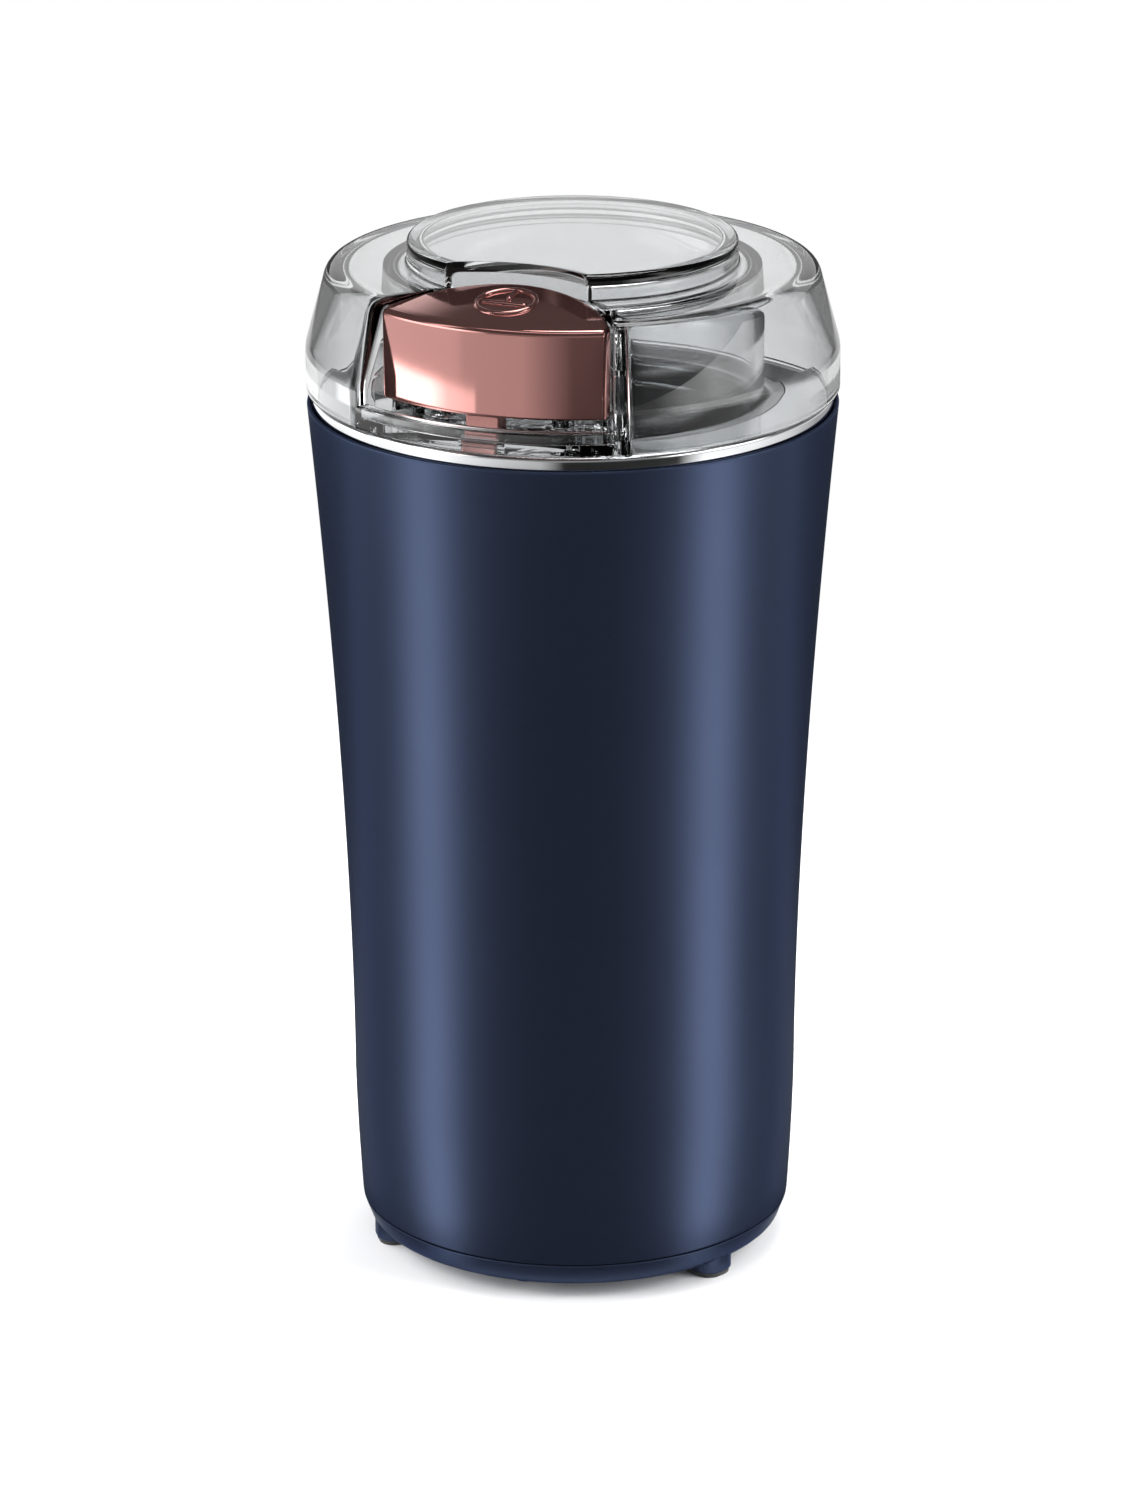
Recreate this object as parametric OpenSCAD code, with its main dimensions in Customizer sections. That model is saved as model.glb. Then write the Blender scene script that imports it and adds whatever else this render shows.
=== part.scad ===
// Electric spice grinder: a clear lid with a press button lifts off a steel bowl,
// and a tapered housing under it holds the motor, the switch and the push rod.
// Millimetres, +Z up. The feet stand on z = 0, the lid's axis is the Z axis,
// the button faces -Y and the cord's inlet is at the back, towards +Y.

/* [Housing] */
// Height of the housing, from its underside to the top of its rim
body_h = 155.7; // [140:0.1:175]
// Outer diameter at the underside
foot_d = 78; // [74:0.5:80]
// Outer diameter at the waist
waist_d = 80.8; // [78:0.1:86]
// Height of the waist above the underside
waist_h = 30; // [20:1:45]
// Outer diameter at the rim
rim_d = 94.8; // [92:0.1:105]
// How late the sleeve flares: 1 is a straight cone, 2 a parabola
flare_power = 1.7; // [1.2:0.1:2.4]
// Wall of the sleeve
sleeve_wall = 2.4; // [1.8:0.1:3]
// Height of the base cover's visible band
base_band_h = 4.5; // [4:0.5:10]
// Shadow gap between the base cover and the sleeve
parting_gap = 0.15; // [0.1:0.05:0.5]
// How far that band leans in towards the table, in degrees
band_lean = 20; // [5:1:30]

/* [Feet] */
// Height of a foot with its pad
foot_h = 3; // [2:0.5:6]
// Width of a foot
foot_w = 7.5; // [5:0.5:9]
// Direction of the first foot, from the button's side
foot_turn = -53; // [-60:1:60]
// Thickness of the rubber pad under a foot
pad_t = 0.8; // [0.5:0.1:1.5]

/* [Steel ring and bowl] */
// Outer diameter of the steel ring
ring_d = 93; // [90:0.5:100]
// Height of the ring's face above the sleeve's rim
ring_rise = 2.3; // [1:0.1:4]
// Height of the ring's rolled skirt
skirt_h = 2.8; // [2:0.1:4]
// Sheet thickness of the ring and the bowl
sheet_t = 0.8; // [0.5:0.1:1.2]
// Inner diameter of the bowl
bowl_d = 68; // [60:0.5:70]
// Depth of the bowl
bowl_depth = 42; // [32:1:46]
// Radius between the bowl's wall and floor
bowl_corner = 8; // [4:0.5:12]

/* [Lid] */
// Outer diameter of the lid
lid_d = 95; // [92:0.5:105]
// Wall of the clear moulding
lid_wall = 2.2; // [1.6:0.1:3]
// Gap between the lid and the steel ring
lid_gap = 0.4; // [0.2:0.1:1]
// Height of the lid's upright band
lid_band_h = 7.6; // [4:0.1:12]
// Height of the shoulder above the lid's lower edge
shoulder_h = 22.6; // [18:0.1:30]
// Diameter of the flat top inside the shoulder
plateau_d = 83.2; // [76:0.1:90]
// Diameter of the raised centre disc
disc_d = 58.8; // [50:0.1:66]
// Height of the raised centre disc
disc_h = 4.6; // [2:0.1:8]
// How far the inner wall reaches into the bowl
lip_depth = 5; // [3:0.5:8]
// Height of the lid's front sill under the button
sill_h = 4.1; // [3:0.1:6]

/* [Button] */
// Radius of the round pocket in the lid
pocket_r = 24.2; // [20:0.1:27]
// Distance from the lid's axis to the pocket's centre
pocket_out = 46.5; // [44:0.1:50]
// Radius of the button's front face about the lid's axis
front_r = 42.5; // [40:0.1:44]
// Height of the button's front face
front_h = 15.7; // [12:0.1:18]
// Rise of the button's top from its front edge to the lid's axis
top_rise = 6.4; // [2:0.1:8]
// Wall of the button
button_wall = 1.8; // [1.2:0.1:2.5]
// Width of the tab under the front face
tab_w = 6.3; // [5:0.1:8]
// Travel of the button
press_travel = 3; // [2:0.1:3.2]

/* [Push rod and switch] */
// Distance from the axis to the push rod
rod_out = 40.4; // [40:0.1:41]
// Diameter of the push rod
rod_d = 3.2; // [2.8:0.1:3.4]
// Length of the push rod
rod_len = 24; // [20:0.5:26]
// Length of the switch body, top to bottom
switch_h = 11; // [9:0.5:13]

/* [Motor] */
// Diameter of the shaft
shaft_d = 5; // [4:0.5:6]
// Height of the laminated stator
stator_h = 30; // [20:1:34]
// Diameter across the stator's round corners
stator_d = 71; // [66:0.5:72]
// Diameter of the armature
armature_d = 33.2; // [28:0.1:34]
// Air gap between the armature and the stator
air_gap = 0.6; // [0.4:0.1:1]
// Number of armature slots
slots = 12; // [8:1:14]
// Diameter of the commutator
commutator_d = 18.8; // [16:0.1:20]
// Number of commutator bars
bars = 24; // [12:2:24]
// Diameter of the cooling fan
fan_d = 41; // [36:1:46]
// Number of fan blades
fan_blades = 11; // [7:1:13]

/* [Blade] */
// Gap between the blade's tips and the bowl's wall
blade_gap = 4; // [3:0.5:8]
// Width of a blade arm at its root
blade_w = 11; // [8:0.5:13]
// Thickness of the blade
blade_t = 1.4; // [1:0.1:2]
// Pitch of the blade's arms
blade_pitch = 14; // [6:1:20]

/* [Fits] */
// Gap between pieces that are put together by hand
loose_fit = 0.3; // [0.2:0.05:0.4]
// Radial gap round a part that slides or turns in a hole
running_fit = 0.05; // [0.02:0.01:0.1]

/* [Hidden] */
$fn = 96;

navy = "#26304d";
inner_black = "#25272b";
steel = "#c9cccf";
copper = "#b8703a";
rose_gold = "#b87a72";
clear = [0.86, 0.9, 0.92, 0.45];

// Heights of the housing's parts above the table
rim_z = foot_h + body_h;
parting_z = foot_h + base_band_h;
sleeve_z = parting_z + parting_gap;
sleeve_steps = 28;
base_floor_t = 2;
base_round = 2;
base_post_h = 22;
carrier_post_h = 14;

// Levels of the deck, the ring and the lid
ring_z = rim_z + ring_rise;
deck_z = ring_z - sheet_t;
seat_z = rim_z - 0.9;
deck_low_z = deck_z - 2.4;
lid_z = ring_z + lid_gap;
ring_r = ring_d / 2;
rim_inner_r = ring_r + 0.2;
skirt_z = ring_z - skirt_h;
deck_r = ring_r - sheet_t - 0.1;

// Bowl and what seats it
bowl_r = bowl_d / 2;
lip_r = bowl_r + 3.4;
bowl_floor_z = ring_z - bowl_depth;
deck_bore_r = bowl_r + 2.4;
neck_r = 6.9;
washer_t = 0.8;
shoulder_z = bowl_floor_z - sheet_t - washer_t;
nut_h = 3;
neck_z = bowl_floor_z + nut_h + 0.5;

// Motor stack, from the bowl downwards
shaft_r = shaft_d / 2;
bearing_r = shaft_r + 2.5;
plate_t = 3;
plate_z = shoulder_z - 9.4;
plate_r = 36;
bearing_boss_z = plate_z - 1.5;
post_out = 37.9;
post_r = 2.6;
grommet_t = 1;
post_z = plate_z + plate_t + grommet_t;
stator_top_z = plate_z - 16;
stator_z = stator_top_z - stator_h;
screw_x = 22;
screw_y = 24.3;
stator_half_w = 31;
stator_half_h = 28;
boss_r = 4;
lower_z = stator_z - 18;
lower_t = 4;
pillar_foot = 1;
core_r = armature_d / 2;
bore_r = core_r + air_gap;
commutator_r = commutator_d / 2;
coil_reach = 5.5;
fan_z = plate_z - 9.5;
fan_h = 6;
upper_bearing_z = plate_z + 0.5;
upper_bearing_h = 8.5;
lower_bearing_z = lower_z - 5;
lower_bearing_h = 8;
holder_z = lower_z + lower_t;
brush_h = 6;
brush_w = 5;
holder_wall = 1.2;
holder_out = 27;

// Blade stack
blade_len = bowl_d - 2 * blade_gap;
spacer_z = neck_z + 0.5;
blade_z = spacer_z + 4;
blade_nut_z = blade_z + blade_t + 0.8;
shaft_top_z = blade_nut_z + 3.4;
shaft_low_z = lower_bearing_z - 2;

// Lid
lid_r = lid_d / 2;
crease_z = lid_z + lid_band_h;
plateau_r = plateau_d / 2;
plateau_z = lid_z + shoulder_h;
slope_r = plateau_r + 1.6;
slope_z = plateau_z - 1.3;
disc_r = disc_d / 2;
disc_round = 1;
chamber_r = bowl_r - 0.5;
chamber_wall = 1.6;
lip_z = ring_z - lip_depth;
floor_t = 1.6;
floor_z = lid_z + floor_t;
sill_z = lid_z + sill_h;
pocket_wall = 2;

// Button
button_low_z = sill_z + 1;
button_edge_z = button_low_z + front_h;
edge_chamfer = 0.8;
button_half_w = 20.8;
tab_out = front_r - 0.2;
tab_t = 3.6;
lug_turn = 50;
lug_w = 3;
lug_h = 2.6;
lug_reach = 1.2;
lug_z = button_low_z + 3.4;
spring_x = 11;
spring_y = -33.6;
spring_r = 2.4;
button_spring_wire = 0.4;

// Push rod and switch
rod_r = rod_d / 2;
rod_top_z = deck_z - 0.1;
tab_low_z = rod_top_z + loose_fit;
rod_low_z = rod_top_z - rod_len;
head_r = 2.4;
head_h = 2.2;
guide_r = 3.3;
tab_slot_w = tab_w + 1.2;
well_z = tab_low_z - press_travel - loose_fit;
guide_low_z = well_z - 9;
guide_step_z = guide_low_z + 4;
plunger_r = 1.4;
plunger_cap_r = 2.1;
plunger_y = -38.7;
plunger_z = rod_low_z - loose_fit;
switch_top_z = plunger_z - 4.7;
switch_z = switch_top_z - switch_h;
switch_half_w = 5.9;
switch_t = 5.6;
switch_y = -38.2;
rail_x = 7.9;
rail_w = 3;
rail_y = -38.4;
ear_t = 1.2;

// Cord inlet
inlet_z = foot_h + 17;
inlet_r = 5;
lead_r = 3.2;
inlet_face_y = 39.2;

// Outer radius of the sleeve at height h above the housing's underside
function body_r(h) =
    h < waist_h
        ? waist_d / 2 - (waist_d - foot_d) / 2 * pow(1 - max(h, 0) / waist_h, 1.5)
        : waist_d / 2 + (rim_d - waist_d) / 2 * pow((h - waist_h) / (body_h - waist_h), flare_power);
function shell_r(z) = body_r(z - foot_h);
// Points of a profile along the sleeve, from height low to height high, inset from its outside
function shell_points(low, high, inset, steps) =
    [for (i = [0:steps]) let (z = low + (high - low) * i / steps) [shell_r(z) - inset, z]];
// Points of an arc about a centre in the profile plane
function arc_points(centre, r, from, to, steps) =
    [for (i = [0:steps]) let (a = from + (to - from) * i / steps) centre + r * [cos(a), sin(a)]];
function reversed(list) = [for (i = [len(list) - 1:-1:0]) list[i]];

// ---- shared shapes ----

// A ring with square edges
module ring(outer, inner, h) {
    difference() {
        cylinder(r = outer, h = h);
        translate([0, 0, -1]) cylinder(r = inner, h = h + 2);
    }
}

// A block centred in X and Y that stands on z = 0
module block(x, y, z) {
    translate([-x / 2, -y / 2, 0]) cube([x, y, z]);
}

module at_corners() {
    for (sx = [-1, 1], sy = [-1, 1]) translate([sx * screw_x, sy * screw_y, 0]) children();
}

module at_posts() {
    for (a = [20, 160, 200, 340]) rotate([0, 0, a]) translate([post_out, 0, 0]) children();
}

module at_carrier_screws() {
    for (a = [90, 210, 330]) rotate([0, 0, a]) translate([carrier_screw_out, 0, 0]) children();
}

module at_base_screws() {
    for (i = [0:2]) rotate([0, 0, foot_turn - 30 + 120 * i]) translate([base_post_out, 0, 0]) children();
}

module at_feet() {
    for (i = [0:2]) rotate([0, 0, foot_turn - 90 + 120 * i]) children();
}

// Pan-head screw, head down at z = 0 and shank upwards
module pan_screw(shank_r, length, head_r, head_h) {
    difference() {
        union() {
            cylinder(r = head_r, h = head_h);
            cylinder(r = shank_r, h = head_h + length);
        }
        for (a = [0, 90]) rotate([0, 0, a]) translate([0, 0, -1]) block(head_r * 1.2, 0.7, 1 + head_h * 0.5);
    }
}

coil_sides = 6;
coil_steps = 8;

// Least gap between the turns of a wire that runs along these centres
function wire_gap(centres, wire_r) =
    let (last = len(centres) - 1)
    min([for (i = [0:last], j = [i + coil_steps / 2:1:last]) norm(centres[i] - centres[j])]) - 2 * wire_r;

// Round wire wound about Z from z = 0 to z = height, its ends on the same side
module coil_spring(r, wire_r, turns, height) {
    rings = round(turns * coil_steps);
    rise = (height - 2 * wire_r) / rings;
    centres = [for (i = [0:rings]) let (a = 360 * i / coil_steps)
        [r * cos(a), r * sin(a), wire_r + rise * i]];
    points = [for (i = [0:rings], k = [0:coil_sides - 1])
        let (a = 360 * i / coil_steps, b = 360 * k / coil_sides)
        centres[i] + wire_r * [cos(a) * cos(b), sin(a) * cos(b), sin(b)]];
    sides = [for (i = [0:rings - 1], k = [0:coil_sides - 1])
        let (n = (k + 1) % coil_sides, p = i * coil_sides, q = p + coil_sides)
        [[p + k, q + k, q + n], [p + k, q + n, p + n]]];
    ends = [for (k = [1:coil_sides - 2])
        let (q = rings * coil_sides)
        [[0, k, k + 1], [q, q + k + 1, q + k]]];
    echo(least_gap_between_turns = wire_gap(centres, wire_r));
    polyhedron(points = points, faces = concat(
        [for (pair = sides, face = pair) face],
        [for (pair = ends, face = pair) face]));
}

// ---- housing ----

carrier_screw_out = 41.2;
carrier_post_r = 2.8;
base_post_out = 34.2;
base_post_r = 3.4;
rib_w = 2;
screw_r = 1.4;
screw_well_r = 2.9;
inlet_seat_r = inlet_r + 1.8;

// Solid that fills the sleeve to the middle of its wall, to trim what is moulded on its inside
module sleeve_core() {
    rotate_extrude() polygon(concat(
        [[0, sleeve_z]],
        shell_points(sleeve_z, seat_z, sleeve_wall / 2, sleeve_steps),
        [[0, seat_z]]));
}

module body_shell() {
    color(navy) difference() {
        union() {
            rotate_extrude() polygon(concat(
                shell_points(sleeve_z, rim_z - 0.3, 0, sleeve_steps),
                [[rim_inner_r + 0.2, rim_z], [rim_inner_r, rim_z], [rim_inner_r, seat_z]],
                reversed(shell_points(sleeve_z, seat_z, sleeve_wall, sleeve_steps))));
            intersection() {
                sleeve_core();
                union() {
                    at_carrier_screws() {
                        translate([0, 0, seat_z - carrier_post_h])
                            cylinder(r = carrier_post_r, h = carrier_post_h);
                        translate([0, -rib_w / 2, seat_z - carrier_post_h]) cube([6, rib_w, carrier_post_h]);
                    }
                    at_base_screws() {
                        translate([0, 0, base_boss_z]) cylinder(r = base_post_r, h = base_post_h);
                        translate([0, -rib_w / 2, sleeve_z]) cube([8, rib_w, base_post_h - 2]);
                    }
                }
            }
            // The posts stand below the sleeve's edge, down to the base cover's bosses
            at_base_screws() translate([0, 0, base_boss_z]) cylinder(r = base_post_r, h = 10);
        }
        at_carrier_screws() translate([0, 0, seat_z - 11]) cylinder(r = screw_r, h = 20);
        at_base_screws() cylinder(r = screw_r, h = base_boss_z + 15);
        translate([0, 0, inlet_z]) rotate([-90, 0, 0]) cylinder(r = inlet_r, h = 60);
        translate([0, inlet_face_y, inlet_z]) rotate([-90, 0, 0]) cylinder(r = inlet_seat_r, h = 10);
    }
}

// Profile of the visible band: a round lower edge, then a face that leans out to the sleeve
function band_points() =
    let (turn_z = foot_h + base_round * (1 - sin(band_lean)),
         band_r = shell_r(parting_z) - (parting_z - turn_z) * tan(band_lean))
    concat(
        arc_points([band_r - base_round * cos(band_lean), foot_h + base_round],
                   base_round, -90, -band_lean, 6),
        [[shell_r(parting_z), parting_z]]);

// Plan of a foot about the X axis, its outer corners round
module foot_plan(inner, outer, w, corner) {
    translate([inner, -w / 2]) square([outer - inner - corner, w]);
    translate([inner, -w / 2 + corner]) square([outer - inner, w - 2 * corner]);
    for (s = [-1, 1]) translate([outer - corner, s * (w / 2 - corner)]) circle(r = corner);
}

base_boss_z = sleeve_z - 1;
foot_out = shell_r(foot_h) - 1;
foot_corner = foot_w * 0.4;
vent_pitch = 4.2;
vent_field_r = 24;
vent_w = 2.4;
module base_cover() {
    spigot_r = shell_r(parting_z) - sleeve_wall - loose_fit;
    color(navy) difference() {
        union() {
            // Dish: floor, visible band and the spigot that stands inside the sleeve
            rotate_extrude() polygon(concat(
                [[0, foot_h]],
                band_points(),
                [[spigot_r, parting_z],
                 [spigot_r, parting_z + 3],
                 [spigot_r - 1.6, parting_z + 3],
                 [spigot_r - 1.6, foot_h + base_floor_t],
                 [0, foot_h + base_floor_t]]));
            at_base_screws() translate([0, 0, foot_h]) cylinder(r = base_post_r, h = base_boss_z - foot_h);
            // Feet, which run up into the band
            at_feet() translate([0, 0, pad_t]) linear_extrude(foot_h + base_floor_t - 0.2 - pad_t)
                foot_plan(foot_out - 6.5, foot_out, foot_w, foot_corner);
            // Cradle for the capacitor
            for (s = [-1, 1])
                translate([0, capacitor_y + s * (capacitor_d / 2 + 0.9), foot_h + base_floor_t - 0.5])
                    block(14, 1.2, 6);
        }
        at_base_screws() {
            translate([0, 0, -1]) cylinder(r = screw_r + 0.3, h = 20);
            translate([0, 0, -1]) cylinder(r = screw_well_r, h = foot_h + 2.4 + 1);
        }
        // Sockets for the round posts where the spigot meets them
        at_base_screws() translate([0, 0, base_boss_z]) cylinder(r = base_post_r + loose_fit, h = 20);
        // Air vents: short slots side by side, each as long as the circle allows
        for (i = [-4:4]) let (y = i * vent_pitch, half = sqrt(pow(vent_field_r, 2) - y * y))
            for (s = [-1, 1])
                translate([s * (half / 2 + 1), y, foot_h - 1]) block(half - 2, vent_w, base_floor_t + 2);
    }
}

module foot_pads() {
    color(inner_black) at_feet() linear_extrude(pad_t)
        foot_plan(foot_out - 6, foot_out - 0.4, foot_w - 0.8, foot_corner - 0.4);
}

module base_screws() {
    color(steel) at_base_screws() translate([0, 0, foot_h + 0.5]) pan_screw(screw_r, 15, 2.6, 1.9);
}

// Rubber bush in the sleeve's wall, with a flange on each side of it
module cord_inlet() {
    inner_y = shell_r(inlet_z) - sleeve_wall - 2.6;
    color(inner_black) translate([0, 0, inlet_z]) rotate([-90, 0, 0]) difference() {
        union() {
            translate([0, 0, inner_y]) cylinder(r = inlet_r - 0.05, h = inlet_face_y - inner_y + 0.8);
            translate([0, 0, inlet_face_y]) cylinder(r1 = inlet_r + 1.4, r2 = inlet_r + 0.4, h = 1.6);
            translate([0, 0, inner_y]) cylinder(r = inlet_r + 1.2, h = 1.4);
        }
        translate([0, 0, 20]) cylinder(r = lead_r, h = 40);
    }
}

// ---- bowl and carrier ----

module bowl_carrier() {
    skirt_r = shell_r(seat_z) - sleeve_wall - loose_fit - 1.4;
    color(inner_black) difference() {
        union() {
            rotate_extrude() polygon([
                [deck_bore_r, deck_low_z], [skirt_r - 1.6, deck_low_z], [skirt_r - 1.6, seat_z - 4],
                [skirt_r, seat_z - 4], [skirt_r, seat_z], [deck_r, seat_z],
                [deck_r, deck_z - 0.7], [deck_r - 0.5, deck_z], [deck_bore_r, deck_z]]);
            at_posts() translate([0, 0, post_z]) cylinder(r = post_r, h = deck_low_z - post_z + 0.5);
            // Collar round the guide of the push rod, open where the sleeve passes close by
            intersection() {
                translate([0, -rod_out, guide_low_z + 1])
                    cylinder(r = guide_r + 1.2, h = deck_low_z - guide_low_z);
                cylinder(r = skirt_r, h = deck_z);
            }
            // Rails that carry the switch
            for (s = [-1, 1])
                translate([s * rail_x, rail_y, switch_z - 0.5])
                    block(rail_w, rail_w, deck_low_z - switch_z + 1);
        }
        at_carrier_screws() {
            translate([0, 0, seat_z - 6]) cylinder(r = 3.1, h = 6);
            translate([0, 0, seat_z - 1]) cylinder(r = screw_r + 0.2, h = 20);
            translate([0, 0, deck_z - 1.3]) cylinder(r = screw_well_r, h = 5);
        }
        at_posts() translate([0, 0, post_z - 1]) cylinder(r = screw_r, h = 12);
        translate([0, 0, deck_low_z - gasket_drop - 0.1]) cylinder(r = deck_bore_r, h = 20);
        for (s = [-1, 1])
            translate([s * rail_x, 0, switch_z + switch_h / 2]) rotate([90, 0, 0]) cylinder(r = 0.9, h = 60);
        translate([0, -rod_out, seat_z - 20]) cylinder(r = guide_r, h = 40);
        tab_slot(well_z);
    }
}

// Room for the button's tab, from height low upwards
module tab_slot(low) {
    translate([-tab_slot_w / 2, -tab_out - loose_fit, low])
        cube([tab_slot_w, tab_t + 2 * loose_fit, 20]);
}

module carrier_screws() {
    color(steel) at_carrier_screws()
        translate([0, 0, deck_z - 0.2]) mirror([0, 0, 1]) pan_screw(screw_r, 10, 2.6, 1.1);
}

module steel_ring() {
    color(steel) difference() {
        rotate_extrude() polygon([
            [lip_r + 0.2, deck_z], [deck_r - 0.4, deck_z],
            [ring_r - sheet_t, deck_z - 0.6], [ring_r - sheet_t, skirt_z], [ring_r, skirt_z],
            [ring_r, ring_z - 1.4], [ring_r - 0.15, ring_z - 0.7], [ring_r - 0.6, ring_z - 0.15],
            [ring_r - 1.2, ring_z], [lip_r + 0.2, ring_z]]);
        tab_slot(deck_z - 1);
    }
}

module grinding_bowl() {
    outer_r = bowl_r + sheet_t;
    color(steel) difference() {
        rotate_extrude() polygon(concat(
            [[0, bowl_floor_z - sheet_t]],
            arc_points([bowl_r - bowl_corner, bowl_floor_z + bowl_corner], bowl_corner + sheet_t, -90, 0, 12),
            [[outer_r, deck_z], [lip_r, deck_z], [lip_r, ring_z]],
            arc_points([bowl_r + 1.4, ring_z - 1.4], 1.4, 90, 180, 6),
            reversed(arc_points([bowl_r - bowl_corner, bowl_floor_z + bowl_corner], bowl_corner, -90, 0, 12)),
            [[0, bowl_floor_z]]));
        translate([0, 0, bowl_floor_z - 5]) cylinder(r = neck_r + 0.1, h = 10);
    }
}

// Silicone ring between the bowl's wall and the deck, with two ribs that press on the wall
gasket_drop = 1.2;
module bowl_gasket() {
    outer_r = bowl_r + sheet_t;
    low = deck_low_z - gasket_drop;
    color("#d9d9d4") rotate_extrude() polygon([
        [outer_r + 0.05, low], [deck_bore_r - 0.05, low], [deck_bore_r - 0.05, deck_z - 0.05],
        [outer_r + 0.05, deck_z - 0.05], [outer_r + 0.05, deck_z - 0.9], [outer_r + 0.5, deck_z - 1.2],
        [outer_r + 0.5, low + 1.2], [outer_r + 0.05, low + 0.9]]);
}

module bowl_washer() {
    color("#3a3a3a") translate([0, 0, shoulder_z]) ring(13, neck_r + 0.1, washer_t);
}

// Flanged hexagon nut on the bracket's neck
module bowl_nut() {
    color(steel) translate([0, 0, bowl_floor_z]) difference() {
        union() {
            cylinder(r = 12, h = 0.8);
            cylinder(r = 10.8, h = nut_h, $fn = 6);
        }
        translate([0, 0, -1]) cylinder(r = neck_r + 0.05, h = nut_h + 2);
    }
}

module shaft_seal() {
    low = upper_bearing_z + upper_bearing_h + 1.5;
    color("#2b2b2b") translate([0, 0, low]) difference() {
        union() {
            cylinder(r = bearing_r, h = neck_z - low - 0.3);
            cylinder(r = bearing_r, h = 1);
        }
        translate([0, 0, -1]) cylinder(r = shaft_r + running_fit, h = 20);
        translate([0, 0, 1]) ring(bearing_r - 1, shaft_r + 0.8, 20);
    }
}

// ---- motor, fixed part ----

module upper_bracket() {
    color(inner_black) difference() {
        union() {
            translate([0, 0, plate_z]) cylinder(r = plate_r, h = plate_t);
            at_posts() translate([0, 0, plate_z]) cylinder(r = post_r, h = plate_t);
            translate([0, 0, plate_z]) cylinder(r = 13, h = shoulder_z - plate_z);
            translate([0, 0, bearing_boss_z]) cylinder(r = 9, h = 5);
            translate([0, 0, plate_z]) cylinder(r = neck_r, h = neck_z - plate_z);
            // Radial ribs on the upper face
            for (i = [0:7]) rotate([0, 0, 22.5 + 45 * i])
                translate([12, -0.8, plate_z + plate_t - 0.5]) cube([20, 1.6, 3.5]);
            at_corners() translate([0, 0, stator_top_z]) cylinder(r = boss_r, h = plate_z - stator_top_z + 1);
        }
        translate([0, 0, plate_z - 3]) cylinder(r = shaft_r + 0.5, h = 60);
        translate([0, 0, upper_bearing_z]) cylinder(r = bearing_r, h = 60);
        at_posts() translate([0, 0, plate_z - 1]) cylinder(r = screw_r + 0.2, h = 10);
        at_corners() translate([0, 0, stator_top_z - 1]) cylinder(r = 1.5, h = 14);
        // Window for the switch and its wires
        translate([0, -plate_r - 2, plate_z - 1]) block(2 * switch_half_w + 8, 14, 20);
        // Air ports over the fan
        for (i = [0:7]) rotate([0, 0, 45 * i])
            translate([22, 0, plate_z - 1]) cylinder(r = 3.6, h = 10);
    }
}

module bracket_grommets() {
    color("#3a3a3a") at_posts() translate([0, 0, plate_z + plate_t]) ring(post_r, screw_r + 0.1, grommet_t);
}

module bracket_screws() {
    color(steel) at_posts() translate([0, 0, plate_z - 1.6]) pan_screw(screw_r, 12, 2.5, 1.6);
}

module upper_bearing() {
    color("#a07a3c") translate([0, 0, upper_bearing_z])
        ring(bearing_r, shaft_r + running_fit, upper_bearing_h);
}

// Plan of one lamination: a yoke with two pole horns, and four coil slots
module lamination() {
    difference() {
        intersection() {
            circle(d = stator_d);
            square([2 * stator_half_w, 2 * stator_half_h], center = true);
        }
        circle(r = bore_r);
        for (sx = [-1, 1], sy = [-1, 1]) mirrored(sx, sy) translate([6, 12.5]) square([15, 8]);
        for (sx = [-1, 1], sy = [-1, 1]) translate([sx * screw_x, sy * screw_y]) circle(r = 1.7);
    }
}

// The same shape on either side of the X and the Y axis
module mirrored(sx, sy) {
    mirror([sx < 0 ? 1 : 0, 0, 0]) mirror([0, sy < 0 ? 1 : 0, 0]) children();
}

module stator_core() {
    color("#8d9196") translate([0, 0, stator_z]) linear_extrude(stator_h) lamination();
}

// Each coil fills two slots and turns round its pole above and below the core
module field_coils() {
    head_in = bore_r + 1.2;
    head_out = 25.5;
    color(copper) for (side = [0, 180]) rotate([0, 0, side]) union() {
        for (s = [-1, 1])
            mirrored(1, s) difference() {
                translate([10, 13.1, stator_z - 1]) cube([10.4, 6.8, stator_h + 2]);
                cylinder(r = bore_r + 0.3, h = 200);
            }
        for (z = [stator_top_z + 0.3, stator_z - coil_reach - 0.3]) translate([0, 0, z]) intersection() {
            ring(head_out, head_in, coil_reach);
            rotate([0, 0, -62]) linear_extrude(20) polygon([[0, 0], [60, 0], [60, 110], [-20, 45]]);
            translate([7, -40, -1]) cube([40, 80, 20]);
        }
    }
}

module thermal_cutout() {
    color("#e8e4d8") translate([27.4, 0, stator_top_z + 0.2]) block(3.6, 11, 6);
}

module stator_screws() {
    color(steel) at_corners() translate([0, 0, lower_z - pillar_foot - 2])
        pan_screw(1.5, plate_z - 5 - lower_z + pillar_foot, 3, 2);
}

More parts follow.
